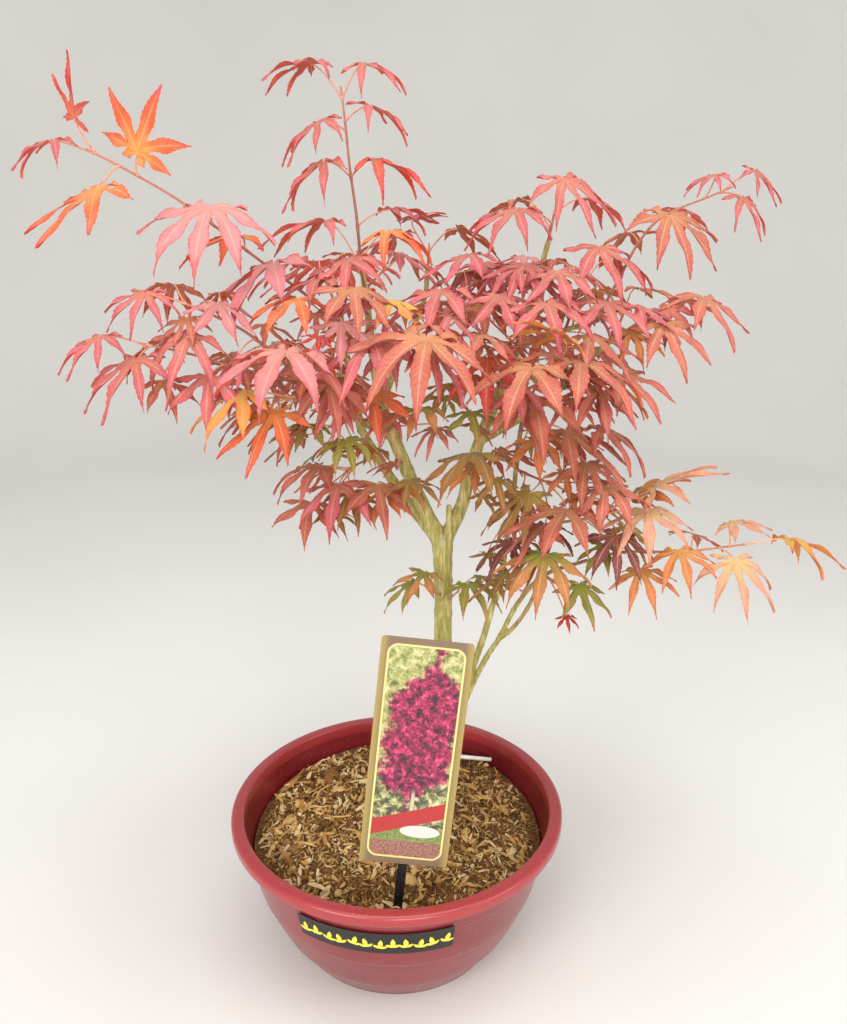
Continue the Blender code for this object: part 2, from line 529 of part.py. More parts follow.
def build_sticker():
    """A curved plate on the bowl's outer wall."""
    step = 360.0 / POT_SIDES
    count = round(STICKER_SWEEP / step)
    points = []
    for i in range(count + 1):
        turn = math.radians(STICKER_START + STICKER_SWEEP * i / count)
        for z, offset in ((STICKER_TOP, 0), (STICKER_TOP - STICKER_HEIGHT, 0),
                          (STICKER_TOP - STICKER_HEIGHT, STICKER_THICKNESS), (STICKER_TOP, STICKER_THICKNESS)):
            radius = sticker_radius(z) + offset
            points.append((radius * math.cos(turn), radius * math.sin(turn), z))
    faces = [(0, 1, 2, 3), tuple(len(points) - 1 - k for k in range(4))]
    for i in range(count):
        for k in range(4):
            a, b = i * 4 + k, i * 4 + (k + 1) % 4
            faces.append((a, a + 4, b + 4, b))
    return add_object("pot_sticker", points, faces, "black_plastic")


def sticker_radius(z):
    """Straight between the plate's edges, and clear of the wall that bulges a little between them."""
    return wall_radius(z) + GAP + 0.5


def build_stick(soil_points):
    """A thin round stick that lies across the soil's lumps behind the card."""
    half = Vector((math.cos(math.radians(STICK_TILT)), 0, -math.sin(math.radians(STICK_TILT)))) * STICK_LENGTH / 2
    centre = Vector((*STICK_CENTRE, 0))
    near = [p.z for p in soil_points if abs(p.x - centre.x) < half.x + 8 and abs(p.y - centre.y) < 12]
    centre.z = max(near) - half.z * 0.4 + GAP + STICK_DIAMETER / 2
    points, faces = tube([centre - half, centre + half], [STICK_DIAMETER / 2] * 2, 12)
    return add_object("white_stick", points, faces, "white_plastic")


# ---- leafy shoots --------------------------------------------------------------------------------------

def direction(azimuth, elevation):
    azimuth = math.radians(azimuth)
    elevation = math.radians(elevation)
    flat = math.cos(elevation)
    return Vector((flat * math.cos(azimuth), flat * math.sin(azimuth), math.sin(elevation)))


def blade_axes(leaf):
    """(ahead, side, normal) of a leaf, where its top looks up or, on an edge-on leaf, to its face azimuth."""
    ahead = direction(leaf[3], leaf[4])
    top = direction(leaf[6], 20) if len(leaf) > 6 else Vector((0, 0, 1))
    normal = (top - ahead * top.dot(ahead)).normalized()
    return ahead, normal.cross(ahead), normal


def bent(centre, along, distance, length):
    """A point of a lobe, sunk towards the ground the further out it lies."""
    down = Vector((0, 0, -1))
    across = down - along * down.dot(along)
    return centre + along * distance + across * (LEAF_HANG * distance * distance / length)


def petiole_ring(centre, side, normal, radius):
    return [centre + side * radius, centre + normal * radius, centre - side * radius, centre - normal * radius]


def petiole_middle(start, outward, end, ahead):
    """Halfway along the stalk's curve, and its direction there."""
    reach = (end - start).length
    a = start + outward * (0.35 * reach)
    b = end - ahead * (0.3 * reach)
    middle = (start + 3 * a + 3 * b + end) / 8
    return middle, (end + b - a - start).normalized()


class Leaf:
    """A leaf's mesh without the stalk's first ring, which the shoot supplies. `grow` swells it for a test."""

    def __init__(self, leaf, start, outward, grow=0.0):
        ahead, side, normal = blade_axes(leaf)
        length = leaf[5] * LEAF_SCALE + grow
        palm = leaf_palm(leaf)
        base = palm - ahead * (PALM_SHARE * length)
        middle, travel = petiole_middle(start, outward, base, ahead)
        radius = PETIOLE_DIAMETER / 2 + grow
        middle_normal = (normal - travel * normal.dot(travel)).normalized()
        self.points = petiole_ring(middle, middle_normal.cross(travel), middle_normal, radius)
        self.points += petiole_ring(base, side, normal, radius)
        self.faces = [(i, (i + 1) % 4, 4 + (i + 1) % 4, 4 + i) for i in range(4)]
        self.add_blade(palm, ahead, side, normal, length, grow)

    def add(self, point):
        self.points.append(point)
        return len(self.points) - 1

    def add_blade(self, palm, ahead, side, normal, length, grow):
        lift = normal * (LEAF_THICKNESS / 2 + grow)
        top = self.add(palm + lift)
        bottom = self.add(palm - lift)
        self.faces += [(5, 6, top), (5, top, 4), (7, bottom, 6), (7, 4, bottom)]
        start = 6
        for i, (turn, long, wide) in enumerate(LOBES):
            if i + 1 < len(LOBES):
                middle = math.radians((turn + LOBES[i + 1][0]) / 2)
                inner = SINUS_SHARE * length * min(1.0, long + LOBES[i + 1][1] - 0.6) + grow
                end = self.add(palm + (ahead * math.cos(middle) + side * math.sin(middle)) * inner)
            else:
                end = 4
            turn = math.radians(turn)
            along = ahead * math.cos(turn) + side * math.sin(turn)
            across = side * math.cos(turn) - ahead * math.sin(turn)
            self.add_lobe(palm, along, across, lift, (length * long, wide, grow), (start, end, top, bottom))
            start = end

    def add_lobe(self, palm, along, across, lift, size, joints):
        length, wide, grow = size
        start, end, top, bottom = joints
        half = LOBE_WIDTH * wide * length / 2 + grow
        shoulder = bent(palm, along, length * SHOULDER_SHARE, length)
        tip = self.add(bent(palm, along, length, length))
        above = self.add(shoulder + lift * 0.8)
        below = self.add(shoulder - lift * 0.8)
        outline = [start, tip, end]
        if length > LEAF_LENGTH * 0.3:
            outline = [start, self.add(shoulder - across * half), tip, self.add(shoulder + across * half), end]
        for a, b in zip(outline, outline[1:]):
            self.faces += [(a, b, above), (b, a, below)]
        self.faces += [(top, start, above), (end, top, above), (start, bottom, below), (bottom, end, below)]


def leaf_palm(leaf):
    return plant_point(leaf[:3])


def tree_of(points, faces):
    """A search tree, with the lowest and highest corners of its box."""
    low = Vector(min(p[i] for p in points) for i in range(3))
    high = Vector(max(p[i] for p in points) for i in range(3))
    return BVHTree.FromPolygons(points, faces), low, high


def meets(a, b):
    if any(a[1][i] > b[2][i] or b[1][i] > a[2][i] for i in range(3)):
        return False
    return bool(a[0].overlap(b[0]))


def arc_lengths(route):
    lengths = [0.0]
    for a, b in zip(route, route[1:]):
        lengths.append(lengths[-1] + (b - a).length)
    return lengths


def point_at(route, lengths, distance):
    """The point this far along a route, going straight on past its end."""
    for i in range(1, len(route)):
        if distance <= lengths[i] or i == len(route) - 1:
            share = (distance - lengths[i - 1]) / (lengths[i] - lengths[i - 1])
            return lerp(route[i - 1], route[i], share)


def outside(tree, point, margin):
    where, normal, _, away = tree.find_nearest(point)
    return (point - where).dot(normal) > 0 and away >= margin


def clear_of_bark(route, radius, bark):
    """The route without what lies in the branch, so that the shoot's foot stands a gap off the bark."""
    lengths = arc_lengths(route)
    distance = 0.0
    while True:
        here = point_at(route, lengths, distance)
        ahead = (point_at(route, lengths, distance + 1.0) - here).normalized()
        side = ahead.orthogonal().normalized()
        rim = ring((here, ahead, side, ahead.cross(side)), radius, 8)
        if all(outside(bark, p, GAP) for p in rim):
            break
        distance += 0.2
    return [here] + [p for p, length in zip(route, lengths) if length > distance + 2.0]


class Shoot:
    """A twig with its leaves, skinned as one closed surface: each stalk grows out of one face of the twig."""

    SIDES = 6

    def __init__(self, name, table, bark):
        self.name = name
        whole = [Vector(p) for p in smooth_route([tuple(plant_point(p)) for p in table[0]], 3)]
        self.radius = SHOOT_DIAMETER / 2
        self.route = clear_of_bark(whole, self.radius, bark)
        self.lengths = arc_lengths(self.route)
        self.leaves = sorted(table[1], key=self.attachment)
        self.place_nodes()
        self.skin_twig()

    def attachment(self, leaf):
        palm = leaf_palm(leaf)
        steps = [self.lengths[-1] * i / 40 for i in range(41)]
        away, nearest = min(((palm - point_at(self.route, self.lengths, s)).length, s) for s in steps)
        return max(NODE_LENGTH * 1.6, nearest - 0.35 * away)

    def place_nodes(self):
        """The distance of each leaf's node along the twig. Two leaves on opposite sides share one."""
        self.nodes = []
        self.stations = []
        for leaf in self.leaves:
            wanted = self.attachment(leaf)
            if self.nodes and wanted < self.nodes[-1] + NODE_PITCH:
                shared = self.stations.count(len(self.nodes) - 1) < 2
                if not shared:
                    self.nodes.append(self.nodes[-1] + NODE_PITCH)
            else:
                self.nodes.append(wanted)
            self.stations.append(len(self.nodes) - 1)
        self.end = max(self.lengths[-1], self.nodes[-1] + NODE_PITCH)

    def ring_distances(self):
        marks = [0.0]
        for node in self.nodes:
            marks += [node - NODE_LENGTH / 2, node + NODE_LENGTH / 2]
        marks.append(self.end - 0.5)
        distances = []
        for a, b in zip(marks, marks[1:]):
            count = max(1, round((b - a) / 16.0))
            distances += [lerp(a, b, i / count) for i in range(count)]
        return distances + [marks[-1]]

    def skin_twig(self):
        distances = self.ring_distances()
        route = [point_at(self.route, self.lengths, d) for d in distances]
        self.points = []
        self.frames = frames_along(route)
        for frame, distance in zip(self.frames, distances):
            self.points += ring(frame, self.radius * lerp(1.0, 0.6, distance / self.end), self.SIDES)
        tip = point_at(self.route, self.lengths, self.end + 0.6)
        self.points.append(tip)
        self.bands = {}
        for band in range(len(distances) - 1):
            for i in range(self.SIDES):
                j = (i + 1) % self.SIDES
                low = band * self.SIDES
                high = low + self.SIDES
                self.bands[band, i] = (low + i, low + j, high + j, high + i)
        self.node_bands = [distances.index(min(distances, key=lambda d: abs(d - node + NODE_LENGTH / 2)))
                           for node in self.nodes]
        last = len(self.points) - 1 - self.SIDES
        self.caps = [tuple(reversed(range(self.SIDES)))]
        self.caps += [(last + i, last + (i + 1) % self.SIDES, last + self.SIDES) for i in range(self.SIDES)]
        self.used = set()

    def socket(self, index, leaf):
        """The free face of the leaf's node that looks most towards its palm: its key, centre and normal."""
        band = self.node_bands[self.stations[index]]
        best = None
        for i in range(self.SIDES):
            key = (band, i)
            if key in self.used:
                continue
            corners = [self.points[k] for k in self.bands[key]]
            centre = sum(corners, Vector()) / 4
            normal = (corners[1] - corners[0]).cross(corners[3] - corners[0]).normalized()
            score = normal.dot((leaf_palm(leaf) - centre).normalized())
            if best is None or score > best[0]:
                best = (score, key, centre, normal)
        return best[1:]

    def twig_tree(self):
        return tree_of(self.points, list(self.bands.values()) + self.caps)

    def join_leaf(self, key, grown):
        """Opens one face of the twig and carries its edge on into the leaf's stalk."""
        corners = self.bands[key]
        self.used.add(key)
        offset = len(self.points)
        self.points += grown.points
        self.caps += [tuple(offset + k for k in face) for face in grown.faces]
        gaps = [sum((self.points[corners[(i + shift) % 4]] - grown.points[i]).length for i in range(4))
                for shift in range(4)]
        shift = gaps.index(min(gaps))
        for i in range(4):
            j = (i + 1) % 4
            self.caps.append((corners[(i + shift) % 4], corners[(j + shift) % 4], offset + j, offset + i))

    def build(self, colour):
        faces = [face for key, face in self.bands.items() if key not in self.used] + self.caps
        return add_object("shoot_" + self.name, self.points, faces, colour)


def tries(leaf):
    """The leaf as listed, then slightly turned, moved and shrunk ones, further off each time."""
    yield leaf
    dice = random.Random(str(leaf))
    for attempt in range(MOST_TRIES):
        reach = FIRST_REACH + attempt * REACH_STEP
        x, y, z = (leaf[i] + dice.uniform(-MOVE, MOVE) * reach for i in range(3))
        turned = leaf[3] + dice.uniform(-TURN, TURN) * reach
        raised = leaf[4] + dice.uniform(-RAISE, RAISE) * reach
        raised = max(LOWEST_LEAF, min(HIGHEST_LEAF, raised))
        shrunk = max(SMALLEST_SHARE, 1.0 - SHRINK_STEP * attempt)
        yield (x, y, z, turned, raised, leaf[5] * shrunk) + tuple(leaf[6:])


def leaf_trees(leaf, start, outward, grow):
    """(the leaf, its whole shape with the stalk's inner half, the part of it that is free of its own twig)."""
    grown = Leaf(leaf, start, outward, grow)
    root = petiole_ring(start, *side_and_normal(outward), PETIOLE_DIAMETER / 2 + NODE_LENGTH / 4 + grow)
    stalk = [(i, (i + 1) % 4, 4 + (i + 1) % 4, 4 + i) for i in range(4)]
    blade = [tuple(4 + k for k in face) for face in grown.faces]
    return grown, tree_of(root + grown.points, stalk + blade), tree_of(grown.points, grown.faces)


def grow_leaf(shoot, index, leaf, placed):
    """Adds the first of the leaf's tries that touches nothing placed before it."""
    for option in tries(leaf):
        key, start, outward = shoot.socket(index, option)
        _, whole, free = leaf_trees(option, start, outward, GAP)
        if any(meets(free, near) if owner is shoot else meets(whole, near_whole)
               for owner, near_whole, near in placed):
            continue
        grown, whole, free = leaf_trees(option, start, outward, 0.0)
        shoot.join_leaf(key, grown)
        placed.append((shoot, whole, free))
        return
    raise RuntimeError(f"no clear place for a leaf of {shoot.name}: {leaf}")


def side_and_normal(outward):
    side = outward.orthogonal().normalized()
    return side, outward.cross(side)


def build_shoots(solids):
    graph = bpy.context.evaluated_depsgraph_get()
    placed = []
    bark = None
    for thing in solids:
        mesh = thing.evaluated_get(graph).to_mesh()
        points = [thing.matrix_world @ v.co / MM for v in mesh.vertices]
        tree = tree_of(points, [tuple(p.vertices) for p in mesh.polygons])
        thing.evaluated_get(graph).to_mesh_clear()
        bark = bark or tree[0]
        placed.append((None, tree, tree))
    shoots = [Shoot(name, table, bark) for name, table in SHOOTS.items()]
    for shoot in shoots:
        twig = shoot.twig_tree()
        placed.append((shoot, twig, twig))
    for shoot in shoots:
        for index, leaf in enumerate(shoot.leaves):
            grow_leaf(shoot, index, leaf, placed)
    for shoot in shoots:
        height = sum(leaf[2] for leaf in shoot.leaves) / len(shoot.leaves)
        colour = "leaf_pink" if height > PINK_ABOVE else "leaf_coral" if height > OLIVE_BELOW else "leaf_olive"
        shoot.build(colour)


def seat_trunk(soil):
    """The trunk's foot stands in the soil with a gap all round."""
    foot = plant_point(TRUNK[0])
    radius = max(p[3] for p in TRUNK) * TRUNK_RADIUS + GAP
    route = [foot - Vector((0, 0, GAP)), Vector((foot.x, foot.y, POT_HEIGHT * 1.5))]
    points, faces = tube(route, [radius] * 2, 20)
    cut(soil, add_object("trunk_socket", points, faces, "soil_brown", helper=True))


def main():
    clear_scene()
    build_pot()
    soil = build_soil()
    surface = [v.co / MM for v in soil.data.vertices]
    wood = build_wood()
    seat_trunk(soil)
    card = build_card()
    stake = build_stake(soil)
    build_sticker()
    build_stick(surface)
    bpy.context.view_layer.update()
    build_shoots([wood, card, stake])


main()
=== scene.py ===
import json
import math
import random

import bmesh
import bpy
from mathutils import Matrix, Vector, kdtree, noise

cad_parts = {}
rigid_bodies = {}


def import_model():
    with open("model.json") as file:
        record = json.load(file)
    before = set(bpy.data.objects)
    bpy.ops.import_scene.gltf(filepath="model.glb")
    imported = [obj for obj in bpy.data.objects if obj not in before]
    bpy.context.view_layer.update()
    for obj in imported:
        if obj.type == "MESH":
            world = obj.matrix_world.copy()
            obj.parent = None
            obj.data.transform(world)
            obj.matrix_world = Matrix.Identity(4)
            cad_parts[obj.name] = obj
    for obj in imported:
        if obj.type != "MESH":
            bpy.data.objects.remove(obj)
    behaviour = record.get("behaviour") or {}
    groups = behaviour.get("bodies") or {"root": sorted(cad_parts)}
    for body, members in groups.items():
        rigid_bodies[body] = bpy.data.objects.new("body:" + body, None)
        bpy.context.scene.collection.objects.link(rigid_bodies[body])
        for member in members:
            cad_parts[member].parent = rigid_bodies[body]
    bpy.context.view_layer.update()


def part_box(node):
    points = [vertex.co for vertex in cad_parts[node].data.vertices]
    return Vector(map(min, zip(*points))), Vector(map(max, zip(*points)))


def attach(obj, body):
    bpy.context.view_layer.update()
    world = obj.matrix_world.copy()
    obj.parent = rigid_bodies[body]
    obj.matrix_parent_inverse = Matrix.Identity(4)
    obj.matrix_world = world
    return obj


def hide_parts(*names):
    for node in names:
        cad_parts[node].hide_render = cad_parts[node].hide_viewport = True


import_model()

MM = 0.001

# ---- sizes in millimetres: the CAD's first, then those of the visual pieces alone ------------------------

POT_DIAMETER = 220.0
POT_HEIGHT = 95.0
POT_WALL = 2.0
POT_FLOOR = 3.0
BASE_DIAMETER = 140.0
LIP_HEIGHT = 7.0
LIP_OVERHANG = 6.5
WALL_BENDS = ((0.0, 0.0), (0.2, 0.36), (0.52, 0.72), (1.0, 1.0))
DRAIN_COUNT = 5
DRAIN_DIAMETER = 10.0
DRAIN_CIRCLE = 84.0
SOIL_EDGE_HEIGHT = 71.0
SOIL_MOUND = 9.0
SOIL_BACK_RISE = 8.0
SOIL_FRONT_RISE = 5.0
TRUNK_RADIUS = 5.75
TRUNK_FOOT = (28.0, 5.0)
SOIL_AT_TRUNK = SOIL_EDGE_HEIGHT + 4.0
CARD_SIZE = (51.0, 0.6, 138.0)
CARD_CENTRE = (13.0, -77.5, 177.0)
CARD_TILT = 6.2
CARD_LEAN = 4.0
STAKE_WIDTH = 5.5
STAKE_THICKNESS = 1.6
STAKE_DEPTH = 28.0
STAKE_OVERLAP = 95.0
STICKER_HEIGHT = 17.0
STICKER_TOP = 77.0
STICKER_START = 236.5
STICKER_SWEEP = 54.0
STICK_DIAMETER = 3.0

CARD_CORNER = 2.2
CARD_EDGE = 0.12
STAKE_EDGE = 0.3
STAKE_POINT = 9
RIB_DEPTH = 0.35
LABEL_STANDOFF = 0.8
LABEL_THICKNESS = 0.3
INK_STANDOFF = 0.34

# ---- the plant's tables, from the trunk's foot on the soil -----------------------------------------------

# Limbs: (x, y, z, share of the trunk's radius)
LIMBS = {
    "trunk": ((0, 0, -25, 1.12), (0, 0, 0, 1.22), (1, -1, 22, 1.08), (1, -2, 52, 1.0), (2, -4, 100, 0.98),
              (2, -5, 138, 0.98), (2, -5, 172, 0.97), (1, -5, 205, 1.1)),
    "left_leader": ((1, -5, 200, 0.85), (-15, -10, 236, 0.72), (-28, -10, 269, 0.66), (-35, -10, 290, 0.54),
                    (-40, -5, 318, 0.44), (-43, 0, 346, 0.36), (-46, 5, 367, 0.28)),
    "left_rear": ((1, -5, 201, 0.7), (-22, 5, 227, 0.58), (-39, 13, 252, 0.5), (-49, 20, 268, 0.46),
                  (-52, 25, 285, 0.4), (-59, 35, 315, 0.33), (-66, 45, 344, 0.26)),
    "left_low": ((-30, -10, 270, 0.46), (-52, -25, 284, 0.38), (-60, -33, 294, 0.34), (-74, -43, 306, 0.28),
                 (-83, -50, 318, 0.24)),
    "left_upper": ((-41, -4, 320, 0.34), (-52, -5, 330, 0.3), (-66, -5, 341, 0.26)),
    "right_leader": ((1, -5, 200, 0.8), (13, 0, 224, 0.72), (17, 0, 242, 0.66), (24, 0, 267, 0.58),
                     (35, 5, 294, 0.48), (47, 10, 323, 0.4), (55, 15, 351, 0.34), (62, 15, 379, 0.26)),
    "right_side": ((23, 0, 264, 0.42), (45, -15, 280, 0.36), (67, -20, 298, 0.32), (90, -10, 319, 0.28),
                   (112, -5, 333, 0.24)),
    "right_upper": ((45, 9, 318, 0.36), (60, 9, 325, 0.32), (72, 5, 329, 0.29), (92, 5, 335, 0.25)),
    "low_stem": ((1, -2, 46, 0.5), (10, 3, 72, 0.44), (22, 7, 111, 0.4), (29, 7, 134, 0.38),
                 (34, 7, 155, 0.36), (38, 5, 169, 0.34), (44, 0, 227, 0.29), (47, -5, 271, 0.25),
                 (52, -5, 293, 0.22)),
    "low_side_stem": ((1, -2, 48, 0.44), (12, 1, 76, 0.38), (22, 4, 101, 0.35), (31, 0, 123, 0.33),
                      (38, -5, 138, 0.3), (48, -13, 165, 0.27), (62, -23, 187, 0.24), (86, -30, 199, 0.2)),
    "low_fork": ((37, -4, 136, 0.26), (46, -13, 149, 0.25), (56, -16, 168, 0.23), (63, -17, 195, 0.21),
                 (70, -23, 222, 0.19)),
    "back_left": ((-49, 20, 266, 0.38), (-58, 55, 290, 0.33), (-64, 85, 316, 0.28), (-68, 105, 342, 0.22)),
    "back_middle": ((-35, -10, 288, 0.4), (-22, 20, 318, 0.34), (-10, 36, 345, 0.28), (-8, 42, 366, 0.22)),
    "back_right": ((23, 0, 262, 0.4), (41, 40, 289, 0.34), (57, 75, 314, 0.28), (70, 100, 342, 0.22)),
    "pruned_stub": ((5, -6, 200, 0.36), (5, -6, 226, 0.31)),
    "short_stub": ((-2, -9, 203, 0.34), (-2, -9, 216, 0.3)),
    "bare_twig": ((-43, 16, 259, 0.26), (-56, 2, 254, 0.2), (-71, -8, 265, 0.14)),
}

